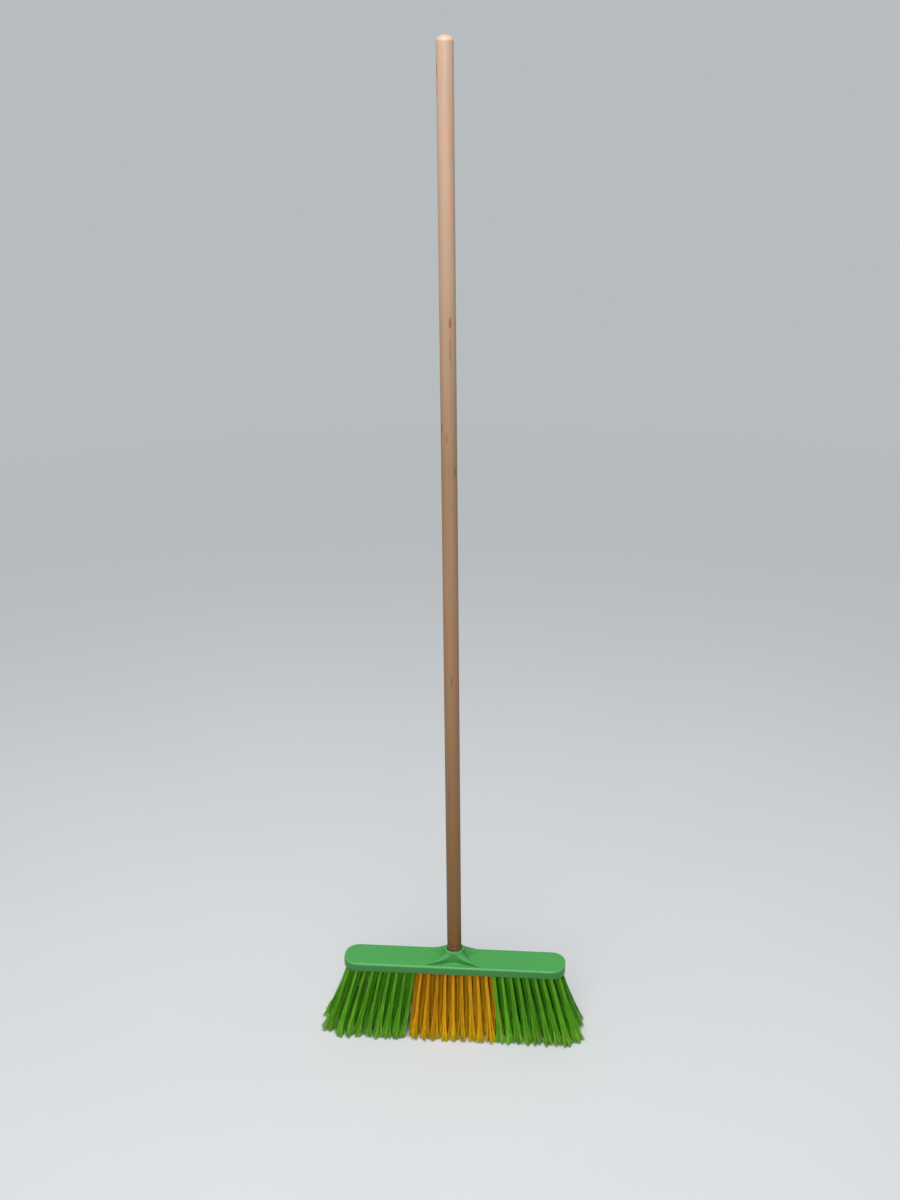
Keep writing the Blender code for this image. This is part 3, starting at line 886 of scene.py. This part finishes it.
# Noises of the plastic: scales along x, y and z or one for all, detail, roughness, distortion
FLOW_MARKS = ((9.0, 30.0, 30.0), 2.0, 0.5, 0.8)
MOTTLE = (160.0, 3.0, 0.6)
SCRATCHES = ((60.0, 1500.0, 900.0), 2.0, 0.6, 0.4)
CROSS_SCRATCHES = (1.0, 2.0, 0.6, 0.3)
CROSS_SCRATCH_TURN = (0.0, 0.0, 0.7)
CROSS_SCRATCH_STRETCH = (1500.0, 70.0, 900.0)
MOULD_GRAIN = (2600.0, 2.0, 0.6)
# Where a mask begins and where it is in full
RUBBED_FADE = (0.40, 0.66)
SCRATCH_FADE = (0.66, 0.80)
RUBBED_STRENGTH = 0.55
SCRATCH_STRENGTH = 0.14
# Share of black that paints shade on the plate's sides
SIDE_PAINTED_SHADE = 0.2
# How far below the plate's top the painted shade on its sides begins, and where it is in full
SIDE_SHADE_START = 1 * MM
SIDE_SHADE_FULL = 4 * MM


def plastic_material(block):
    """Moulded plastic: a soft sheen, faint flow marks, fine scratches, scuffed edges and painted
    shade on the plate's sides.
    """
    material, graph = new_material("block_green_finish")
    place = graph.place()
    flow = graph.noise(place, *FLOW_MARKS)
    mottle = graph.noise(place, *MOTTLE)
    grain = graph.noise(place, *MOULD_GRAIN)
    turned = graph.node(
        "ShaderNodeMapping", {},
        {"Vector": place, "Rotation": CROSS_SCRATCH_TURN, "Scale": CROSS_SCRATCH_STRETCH},
    )
    scratched = graph.maths(
        "MAXIMUM", graph.noise(place, *SCRATCHES), graph.noise(turned, *CROSS_SCRATCHES),
    )
    scratched = graph.smooth(scratched, *SCRATCH_FADE)
    rubbed = graph.attribute("worn") * graph.smooth(mottle + (flow - 0.5) * 0.5, *RUBBED_FADE)
    body = graph.lit(block.plastic, 0.93 + flow * 0.10 + (mottle - 0.5) * 0.07)
    scuffs = rubbed * RUBBED_STRENGTH + scratched * SCRATCH_STRENGTH
    body = graph.blend(scuffs, body, block.scuffed)
    # Painted shade: the plate's sides are darkened below its top edge
    _, _, height = graph.parts(place)
    top = block.underside + block.thickness
    side = graph.smooth(height, top - SIDE_SHADE_FULL, top - SIDE_SHADE_START, 1.0, 0.0)
    body = graph.blend(side * SIDE_PAINTED_SHADE, body, BLACK)
    relief = grain * 0.4 - scratched * 0.5 - rubbed * mottle * 0.6
    graph.surface({
        "Base Color": body, "Specular IOR Level": 0.5,
        "Roughness": 0.34 + mottle * 0.08 + grain * 0.05 + rubbed * 0.16 + scratched * 0.10,
        "Normal": graph.bump(relief, 0.3, 0.06 * MM),
    })
    return material


class BROOM_OT_make_block(bpy.types.Operator):
    """Mould the block with its socket, gussets and tuft holes"""

    bl_idname = "broom.make_block"
    bl_label = "Make the block"

    def execute(self, context):
        scene = context.scene
        block = scene.broom_block
        blank = add_object("block_blank", make_block_mesh(block, scene.broom_bristles))
        wind_thread(blank, scene.broom_stick, block.groove_depth, plastic_material(block))
        piece = settled(blank, "moulded_block", ("threaded",))
        shade(piece.data)
        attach(piece, "head")
        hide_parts("block")
        return {"FINISHED"}


BRISTLE_SEED = 7
SECTION_SEED_STEP = 100
GOLDEN_ANGLE = math.pi * (3 - math.sqrt(5))
FILAMENT_SIDES = 3
# Front row to back row: shares of the usual widening and swelling, widening that comes only near
# the tips, and share of the usual lean
ROW_FORMS = (
    (0.32, -0.3, 0.68, 1.6),
    (1.35, 1.35, 0.0, 3.3),
    (1.35, 1.35, 0.0, 0.8),
    (1.1, 1.35, 0.0, 1.0),
)
# How late along the bristles their widening, their flare and their splay set in
SPREAD_POWER = 1.8
FLARE_POWER = 5.5
SPLAY_POWER = 2.5
# How much of the splay there is towards the block's ends
SPLAY_END_POWER = 3
# How the tufts of an even and of an odd row beside the parting have bent
PARTING_SHARES = (-1, 0.5)
# Where along the bristles the swelling below the holes is in full
SWELLING_END = 0.06
# How far the clumps stand apart at the root and, from half way down, at the tip
ROOT_GATHER = 0.85
TIP_SPREAD = 0.9
SPREAD_END = 0.5
# Where the filaments of a clump draw together, where they open again, and how far
GATHERING = (0.35, 0.75)
REOPENING = (0.8, 1.0)
REOPENED_WIDTH = 0.9
# How much a draw for the whole tuft, for a clump and for one filament counts
CUT_WEIGHTS = (0.35, 0.4, 0.25)
TONE_WEIGHTS = (0.15, 0.55, 0.3)
SIDEWAYS_SWAY = 0.6
CLUMP_SWAY = 0.6
STRAY_POWER = 1.5
BOW_SHARE = 0.5
CRIMP_WAVES = 3.0
SPLIT_TURN = 2.0
SPLIT_STAGGER = 0.35
TIP_BEVEL = 0.004
# The filaments' colour map: tones lie side by side in tiles, and the length runs up
TONE_STEPS = 64
TILE_MARGIN = 0.1
END_MARGIN = 0.01
# What each random number decides. Its place in this list sets it apart from the others
DRAWS = (
    "twist", "tuft cut", "tuft tone", "sway along", "sway across", "stray angle", "stray",
    "phase", "tone", "cut", "clump cut", "clump sway", "clump tone", "split start",
)
TUFT_COUNTS = ("Filaments", "Split Ends", "Clumps", "Filament Points", "Split Points")
TUFT_SIZES = (
    "Split Start", "Filament Radius", "Length", "Embed", "Tuft Radius", "Tip Radius", "Gather",
    "Trim", "Tip Dome", "Sway", "Stray", "Crimp",
)
TUFT_VECTORS = ("lean", "splay", "sway", "root", "spread", "beside", "strayed", "swayed")
TUFT_NUMBERS = (
    "fullness", "flare", "swelling", "tuft", "twist", "shorter", "tuft_tone", "split", "start",
    "cut", "phase", "inside", "around",
)


def tuft_grid(block, bristles):
    """x of the last tuft, y of the outer row and the distance between two tufts of a row."""
    far_x = block.length / 2 - bristles.end_inset
    far_y = block.width / 2 - bristles.side_inset
    return far_x, far_y, 2 * far_x / (bristles.columns - 1)


def tuft_places(block, bristles):
    """(column, row, x, y) of every tuft's hole; every second row is shifted by half a pitch."""
    far_x, far_y, pitch = tuft_grid(block, bristles)
    corner = block.corner_radius - bristles.side_inset
    places = []
    for column in range(bristles.columns):
        for row in range(bristles.rows):
            x = (column - (bristles.columns - 1) / 2) * pitch + (pitch / 2 if row % 2 else 0)
            if x > far_x + WELD_DISTANCE:
                continue
            past = max(0.0, abs(x) - (block.length / 2 - block.corner_radius))
            reach = block.width / 2 - block.corner_radius
            reach += math.sqrt(max(0.0, corner ** 2 - past ** 2))
            y = (row / (bristles.rows - 1) * 2 - 1) * far_y
            places.append((column, row, x, max(-reach, min(reach, y))))
    return places


def tuft_root_mesh(block, bristles, first, last):
    """One point for each tuft of some columns.

    Its way to the tip is stored as "lean", how far its lower half has bent aside as "splay", how
    much of the usual width it has as "fullness", what it makes up of that near its tips as
    "flare" and how much it swells below its hole as "swelling". The front row is narrow at the
    top, so that its tufts stand apart there, and the rows behind it fill the gaps. The staggered
    rows of the yellow section begin half a pitch before its front row, and the tips of all the
    rows end level at both ends.
    """
    far_x, far_y, pitch = tuft_grid(block, bristles)
    parted_column = (bristles.columns - bristles.middle_columns) // 2 - 1
    roots = []
    stored = {"lean": [], "splay": [], "fullness": [], "swelling": [], "flare": []}
    for column, row, x, y in tuft_places(block, bristles):
        parted = column == parted_column
        section = column + 1 if parted and row % 2 else column
        if not first <= section < last:
            continue
        width, swelling, flare, lean = ROW_FORMS[min(row, len(ROW_FORMS) - 1)]
        fan_out, loose = bristles.fan_right, bristles.splay_right
        if x < 0:
            fan_out, loose = bristles.fan_left, bristles.splay_left
        row_end = far_x - pitch / 2 if row % 2 else far_x
        splay = loose * row / (bristles.rows - 1) * (x / far_x) ** SPLAY_END_POWER
        if parted:
            width = bristles.parted_width
            flare = 0.0
            splay += bristles.parting * PARTING_SHARES[row % 2]
        roots.append((x, y, block.underside))
        stored["lean"] += (
            x * ((far_x + fan_out) / row_end - 1), y * bristles.fan_sides / far_y * lean,
            -bristles.length,
        )
        stored["splay"] += (splay, 0.0, 0.0)
        stored["fullness"].append(width)
        stored["swelling"].append(bristles.swelling * swelling)
        stored["flare"].append(flare)
    mesh = bpy.data.meshes.new("tuft_roots")
    mesh.from_pydata(roots, [], [])
    for name, values in stored.items():
        store_points(mesh, name, values, "FLOAT_VECTOR" if name in TUFT_VECTORS else "FLOAT")
    return mesh


class BristleGraph(Graph):
    """The tuft tree's own short hands: random values, stored attributes and strands."""

    def chance(self, draw, low=-1.0, high=1.0, identity=None):
        """A random number for each point, or for each identity."""
        salt = DRAWS.index(draw) + 1
        sockets = {"Min": low, "Max": high, "Seed": self.given("Seed") + salt}
        if identity:
            sockets["ID"] = identity
        return self.node("FunctionNodeRandomValue", {"data_type": "FLOAT"}, sockets, "Value")

    def pointing(self, angle):
        """A level vector of length 1 at that angle."""
        return self.vector(self.maths("COSINE", angle), self.maths("SINE", angle))

    def store(self, geometry, name, value):
        kind = "FLOAT_VECTOR" if name in TUFT_VECTORS else "FLOAT"
        return self.node(
            "GeometryNodeStoreNamedAttribute", {"data_type": kind},
            {"Geometry": geometry, "Name": name, "Value": value},
        )

    def stored(self, name):
        kind = "FLOAT_VECTOR" if name in TUFT_VECTORS else "FLOAT"
        return self.node(
            "GeometryNodeInputNamedAttribute", {"data_type": kind}, {"Name": name}, "Attribute",
        )

    def strands(self, points, amount):
        """A line of that many points on each given point, from its "start" to its tip.

        The line's two ends lie just past the start and the tip, where it gets no thickness, so
        that both ends of the filament close.
        """
        line = self.node(
            "GeometryNodeResampleCurve", {"mode": "COUNT"},
            {"Curve": self.node("GeometryNodeCurvePrimitiveLine"), "Count": amount},
        )
        lines = self.node("GeometryNodeInstanceOnPoints", {}, {"Points": points, "Instance": line})
        lines = self.node("GeometryNodeRealizeInstances", {}, {"Geometry": lines})
        step = self.node("GeometryNodeSplineParameter", output="Index")
        part = (step - 1.0) / (amount - 3.0) * (1 - TIP_BEVEL)
        part = self.maths("MINIMUM", self.maths("MAXIMUM", part, -TIP_BEVEL), 1.0)
        inside = self.maths("GREATER_THAN", part, -TIP_BEVEL / 2)
        inside = inside * self.maths("LESS_THAN", part, 1.0 - TIP_BEVEL / 2)
        start = self.stored("start")
        lines = self.store(lines, "inside", inside)
        return self.store(lines, "along", start + (1.0 - start) * part)


def drawn_filaments(graph):
    """One point for each filament and split end of each tuft, with all that chance decides."""
    given, stored, chance = graph.given, graph.stored, graph.chance
    tufts = graph.node("GeometryNodeMeshToPoints", {}, {"Mesh": given("Geometry")})
    for name, value in (
        ("tuft", graph.node("GeometryNodeInputIndex")),
        ("twist", chance("twist", 0.0, TURN)),
        ("shorter", chance("tuft cut", 0.0, 1.0)),
        ("tuft_tone", chance("tuft tone", 0.0, 1.0)),
        ("sway", graph.vector(chance("sway along"), chance("sway across") * SIDEWAYS_SWAY)),
    ):
        tufts = graph.store(tufts, name, value)
    filaments = graph.node(
        "GeometryNodeDuplicateElements", {"domain": "POINT"},
        {"Geometry": tufts, "Amount": given("Filaments") + given("Split Ends")},
    )
    number = filaments.beside("Duplicate Index")
    split = graph.maths("GREATER_THAN", number, given("Filaments") - 0.5)
    number = number - split * given("Filaments")
    total = given("Filaments") + split * (given("Split Ends") - given("Filaments"))
    clump = graph.maths("MODULO", number, given("Clumps"))
    member = graph.maths("FLOOR", (number + 0.5) / given("Clumps"))
    identity = stored("tuft") * given("Clumps") + clump

    def weighed(tuft_draw, clump_draw, draw, weights):
        """A draw made for the whole tuft, one for the clump and one for the filament, summed."""
        by_tuft, by_clump, by_filament = weights
        by_clump = chance(clump_draw, 0.0, 1.0, identity) * by_clump
        return stored(tuft_draw) * by_tuft + by_clump + chance(draw, 0.0, 1.0) * by_filament

    spread = graph.pointing(clump * GOLDEN_ANGLE + stored("twist"))
    spread = spread * ((clump + 0.5) / given("Clumps")) ** 0.5
    out = ((member + 0.5) * given("Clumps") / total) ** 0.5
    beside = graph.pointing(member * GOLDEN_ANGLE + clump + split * SPLIT_TURN) * out
    shorter = weighed("shorter", "clump cut", "cut", CUT_WEIGHTS)
    cut = shorter * given("Trim") + out * out * given("Tip Dome")
    strayed = chance("stray", 0.0, 1.0) ** STRAY_POWER
    swayed = graph.vector(chance("clump sway", -1.0, 1.0, identity)) * CLUMP_SWAY
    tone = weighed("tuft_tone", "clump tone", "tone", TONE_WEIGHTS)
    for name, value in (
        ("root", graph.node("GeometryNodeInputPosition")),
        ("split", split),
        ("start", split * (given("Split Start") + chance("split start", 0.0, SPLIT_STAGGER))),
        ("spread", spread),
        ("beside", beside * given("Clumps") ** -0.5),
        ("cut", cut / given("Length")),
        ("strayed", graph.pointing(chance("stray angle", 0.0, TURN)) * strayed),
        ("swayed", stored("sway") + swayed),
        ("phase", chance("phase", 0.0, TURN)),
        ("tone", graph.maths("FLOOR", tone * TONE_STEPS) / TONE_STEPS),
    ):
        filaments = graph.store(filaments, name, value)
    return filaments


def strand_places(graph):
    """Where each point of a strand lies."""
    given, stored = graph.given, graph.stored
    along = stored("along")
    embed = given("Embed") / given("Length")
    travel = along * (1.0 - stored("cut") + embed) - embed
    shown = graph.maths("MAXIMUM", travel, 0.0)
    spreading = stored("fullness") * shown ** SPREAD_POWER + stored("flare") * shown ** FLARE_POWER
    width = (given("Tip Radius") - given("Tuft Radius")) * spreading + given("Tuft Radius")
    width = width + stored("swelling") * graph.smooth(shown, 0.0, SWELLING_END)
    apart = graph.smooth(shown, 0.0, SPREAD_END, ROOT_GATHER, TIP_SPREAD)
    gathered = graph.smooth(along, *GATHERING, 1.0, given("Gather"))
    reopened = graph.smooth(along, *REOPENING, 0.0, REOPENED_WIDTH)
    gathered = graph.maths("MAXIMUM", gathered, reopened)
    waves = graph.maths("SINE", along * (TURN * CRIMP_WAVES) + stored("phase"))
    bowed = graph.maths("SINE", shown * math.pi) * given("Stray") * BOW_SHARE
    aside = waves * given("Crimp") + shown * shown * given("Stray") + bowed
    place = stored("root") + stored("lean") * travel
    place = place + stored("spread") * (width * apart) + stored("beside") * (width * gathered)
    place = place + stored("swayed") * (shown * shown * given("Sway"))
    return place + stored("splay") * shown ** SPLAY_POWER + stored("strayed") * aside


def filament_bodies(graph, strands):
    """Thin bodies along the strands, with a colour map."""
    profile = graph.node(
        "GeometryNodeCurvePrimitiveCircle", {"mode": "RADIUS"},
        {"Resolution": FILAMENT_SIDES, "Radius": graph.given("Filament Radius")},
    )
    profile = graph.store(profile, "around", graph.node("GeometryNodeSplineParameter"))
    bodies = graph.node(
        "GeometryNodeCurveToMesh", {},
        {"Curve": strands, "Profile Curve": profile, "Scale": graph.stored("inside")},
    )
    across = graph.stored("around") * (1 - 2 * TILE_MARGIN) + TILE_MARGIN
    across = graph.stored("tone") + across / TONE_STEPS
    up = END_MARGIN + graph.stored("along") * (1 - 2 * END_MARGIN)
    bodies = graph.node(
        "GeometryNodeStoreNamedAttribute", {"data_type": "FLOAT2", "domain": "CORNER"},
        {"Geometry": bodies, "Name": "OFBake", "Value": graph.vector(across, up)},
    )
    bodies = graph.node(
        "GeometryNodeMergeByDistance", {}, {"Geometry": bodies, "Distance": WELD_DISTANCE},
    )
    return graph.node("GeometryNodeSetShadeSmooth", {}, {"Geometry": bodies})


def bristle_tree():
    """Grows fanned tufts of filaments from points with a "lean" attribute."""
    graph = BristleGraph(new_geometry_tree(
        "Fanned bristle tufts", Int=(*TUFT_COUNTS, "Seed"), Float=TUFT_SIZES,
    ))
    split_ends = graph.node(
        "GeometryNodeSeparateGeometry", {"domain": "POINT"},
        {"Geometry": drawn_filaments(graph), "Selection": graph.stored("split")},
    )
    whole = graph.strands(split_ends.beside("Inverted"), graph.given("Filament Points"))
    strands = graph.node("GeometryNodeJoinGeometry", {}, {"Geometry": whole})
    fine = graph.strands(split_ends, graph.given("Split Points"))
    graph.tree.links.new(fine.socket, strands.socket.node.inputs["Geometry"])
    strands = graph.node(
        "GeometryNodeSetPosition", {}, {"Geometry": strands, "Position": strand_places(graph)},
    )
    graph.shape(filament_bodies(graph, strands))
    return graph.tree


# Where along a filament its root's colour ends, its tip's begins and its wear begins
ROOT_FADE = (0.0, 0.4)
TIP_FADE = (0.80, 0.99)
WEAR_FADE = (0.93, 1.0)
DARKEST_FILAMENT = 0.64
FILAMENT_RANGE = 0.68


def filament_material(name, root, body, tip):
    """Extruded filament in its root's, its body's and its worn tip's colour, no two alike. Painted
    light makes the root lighter than the body, against the shade below the block, and the worn tip
    lighter still.
    """
    material, graph = new_material(name)
    tone = graph.attribute("tone")
    along = graph.attribute("along")
    # Painted light: the lighter root and tip colours lift the shade below the block and at the tips
    shaded = graph.blend(graph.smooth(along, *ROOT_FADE), root, body)
    shaded = graph.blend(graph.smooth(along, *TIP_FADE), shaded, tip)
    graph.surface({
        "Base Color": graph.lit(shaded, DARKEST_FILAMENT + tone * FILAMENT_RANGE),
        "Roughness": 0.38 + tone * 0.12 + graph.smooth(along, *WEAR_FADE) * 0.25,
        "Specular IOR Level": 0.3,
    })
    return material


def grow_bristles(name, tree, material, block, bristles, first, last, seed):
    """One section of the bristles as a piece of its own, for the columns from first to last."""
    values = {
        label: getattr(bristles, label.lower().replace(" ", "_"))
        for label in TUFT_COUNTS + TUFT_SIZES
    }
    blank = add_object("tuft_blank", tuft_root_mesh(block, bristles, first, last))
    add_nodes_modifier(blank, tree, {**values, "Seed": seed, "Material": material})
    return settled(blank, name, TUFT_VECTORS + TUFT_NUMBERS)


class BROOM_OT_make_bristles(bpy.types.Operator):
    """Grow the three sections of fanned bristle tufts"""

    bl_idname = "broom.make_bristles"
    bl_label = "Make the bristles"

    def execute(self, context):
        block = context.scene.broom_block
        bristles = context.scene.broom_bristles
        tree = bristle_tree()
        green = filament_material(
            "bristle_green_finish", bristles.green_root_with_painted_light, bristles.green, bristles.green_tip_worn_and_painted_light,
        )
        yellow = filament_material(
            "bristle_yellow_finish", bristles.yellow_root_with_painted_light, bristles.yellow, bristles.yellow_tip_worn_and_painted_light,
        )
        start = (bristles.columns - bristles.middle_columns) // 2
        end = start + bristles.middle_columns
        sections = (
            ("bristles_left", green, 0, start, "bristle_green"),
            ("bristles_middle", yellow, start, end, "bristle_yellow"),
            ("bristles_right", green, end, bristles.columns, "bristle_green"),
        )
        for number, (name, material, first, last, slot_name) in enumerate(sections):
            seed = BRISTLE_SEED + SECTION_SEED_STEP * number
            piece = grow_bristles(name, tree, material, block, bristles, first, last, seed)
            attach(piece, "head")
            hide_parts(*(f"tuft_strip_{column + 1:02d}" for column in range(first, last)))
        return {"FINISHED"}


# Lamps: name, place, point that it lights, side of the lamp, power
LAMPS = (
    ("key_lamp", (-0.1, -0.75, 4.8), (0.0, 0.0, 0.5), 2.0, 172.0),
    ("fill_lamp", (-0.2, -3.0, 2.3), (0.0, 0.0, 0.3), 2.0, 47.0),
)
WORLD_COLOUR = (0.97, 0.985, 1.0)
WORLD_LIGHT = 0.26
# The floor's faint mottle: lightness of its darker parts, scale and detail, and its soft limits
FLOOR_MOTTLE = 0.985
FLOOR_NOISE = (2.5, 3.0)
FLOOR_FADE = (0.3, 0.7)
FLOOR_ROUGHNESS = 0.75


def seen_rays(graph):
    """1 where the background is looked at, straight or in a reflection."""
    rays = graph.node("ShaderNodeLightPath", output="Is Camera Ray")
    seen = graph.maths("MAXIMUM", rays, rays.beside("Is Glossy Ray"))
    return graph.maths("MAXIMUM", seen, rays.beside("Is Transmission Ray"))


def floor_material(stage):
    """A pale floor that turns into the plain background away from the broom."""
    material, graph = new_material("pale_floor")
    place = graph.place()
    mottle = graph.smooth(graph.noise(place, *FLOOR_NOISE), *FLOOR_FADE)
    darker = tuple(FLOOR_MOTTLE * part for part in stage.floor_colour)
    seen = seen_rays(graph)
    body = graph.blend(seen, stage.floor_bounce, graph.blend(mottle, darker, stage.floor_colour))
    near = graph.node(
        "ShaderNodeBsdfPrincipled", {}, {"Base Color": body, "Roughness": FLOOR_ROUGHNESS},
    )
    far = graph.node("ShaderNodeEmission", {}, {"Color": opaque(stage.background)})
    away = graph.maths("LENGTH", place).beside("Value")
    faded = graph.smooth(away, stage.fade_start, stage.fade_end)
    shader = graph.node("ShaderNodeMixShader", {}, {0: faded * seen, 1: near, 2: far})
    graph.node("ShaderNodeOutputMaterial", {}, {"Surface": shader})
    return material


def make_world(stage):
    """Even light from all round, and the plain background where it is seen."""
    world = bpy.data.worlds.new("studio")
    world.use_nodes = True
    world.node_tree.nodes.clear()
    graph = Graph(world.node_tree)
    light, backdrop = (
        graph.node("ShaderNodeBackground", {}, {"Color": opaque(plain), "Strength": strength})
        for plain, strength in ((WORLD_COLOUR, WORLD_LIGHT), (stage.background, 1.0))
    )
    shader = graph.node("ShaderNodeMixShader", {}, {0: seen_rays(graph), 1: light, 2: backdrop})
    graph.node("ShaderNodeOutputWorld", {}, {"Surface": shader})
    return world


def camera_matrix(stage):
    """The camera's place and directions from its yaw, its pitch downwards and its roll."""
    yaw, pitch, roll = stage.camera_turn
    forward = Vector(
        (-math.sin(yaw) * math.cos(pitch), math.cos(yaw) * math.cos(pitch), -math.sin(pitch))
    )
    level = Vector((math.cos(yaw), math.sin(yaw), 0.0))
    upright = level.cross(forward)
    right = level * math.cos(roll) + upright * math.sin(roll)
    up = upright * math.cos(roll) - level * math.sin(roll)
    turn = Matrix((right, up, -forward)).transposed().to_4x4()
    return Matrix.Translation(stage.camera_place) @ turn


class BROOM_OT_make_stage(bpy.types.Operator):
    """Set the floor, the lamps, the background and the camera"""

    bl_idname = "broom.make_stage"
    bl_label = "Set the stage"

    def execute(self, context):
        scene = context.scene
        stage = scene.broom_stage
        half = stage.floor_size / 2
        mesh = bpy.data.meshes.new("floor")
        corners = ((-half, -half, 0), (half, -half, 0), (half, half, 0), (-half, half, 0))
        mesh.from_pydata(corners, [], [(0, 1, 2, 3)])
        mesh.materials.append(floor_material(stage))
        add_object("floor", mesh)
        for name, place, target, side, power in LAMPS:
            lamp = bpy.data.lights.new(name, "AREA")
            lamp.size = side
            lamp.energy = power
            obj = add_object(name, lamp)
            obj.location = place
            towards = Vector(target) - Vector(place)
            obj.rotation_euler = towards.to_track_quat("-Z", "Y").to_euler()
        scene.world = make_world(stage)
        camera = bpy.data.cameras.new("camera")
        camera.lens = stage.lens
        scene.camera = add_object("camera", camera)
        scene.camera.matrix_world = camera_matrix(stage)
        scene.view_settings.view_transform = "Standard"
        return {"FINISHED"}


STEPS = (
    (BROOM_OT_make_stage, "broom_stage", StageSettings),
    (BROOM_OT_make_stick, "broom_stick", StickSettings),
    (BROOM_OT_make_block, "broom_block", BlockSettings),
    (BROOM_OT_make_bristles, "broom_bristles", BristleSettings),
)


class BROOM_PT_panel(bpy.types.Panel):
    """Sizes, colours and steps of the broom"""

    bl_idname = "BROOM_PT_panel"
    bl_label = "Broom"
    bl_space_type = "VIEW_3D"
    bl_region_type = "UI"
    bl_category = "Broom"

    def draw(self, context):
        for operator, settings, _ in STEPS:
            box = self.layout.box()
            box.operator(operator.bl_idname)
            group = getattr(context.scene, settings)
            for name in group.bl_rna.properties.keys():
                if name not in {"rna_type", "name"}:
                    box.prop(group, name)


def register():
    for operator, settings, group in STEPS:
        bpy.utils.register_class(group)
        bpy.utils.register_class(operator)
        setattr(bpy.types.Scene, settings, PointerProperty(type=group))
    bpy.utils.register_class(BROOM_PT_panel)


def unregister():
    bpy.utils.unregister_class(BROOM_PT_panel)
    for operator, settings, group in STEPS:
        delattr(bpy.types.Scene, settings)
        bpy.utils.unregister_class(operator)
        bpy.utils.unregister_class(group)


def main():
    """Registers everything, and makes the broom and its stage."""
    register()
    bpy.ops.broom.make_stage()
    bpy.ops.broom.make_stick()
    bpy.ops.broom.make_block()
    bpy.ops.broom.make_bristles()


if __name__ == "__main__":
    main()
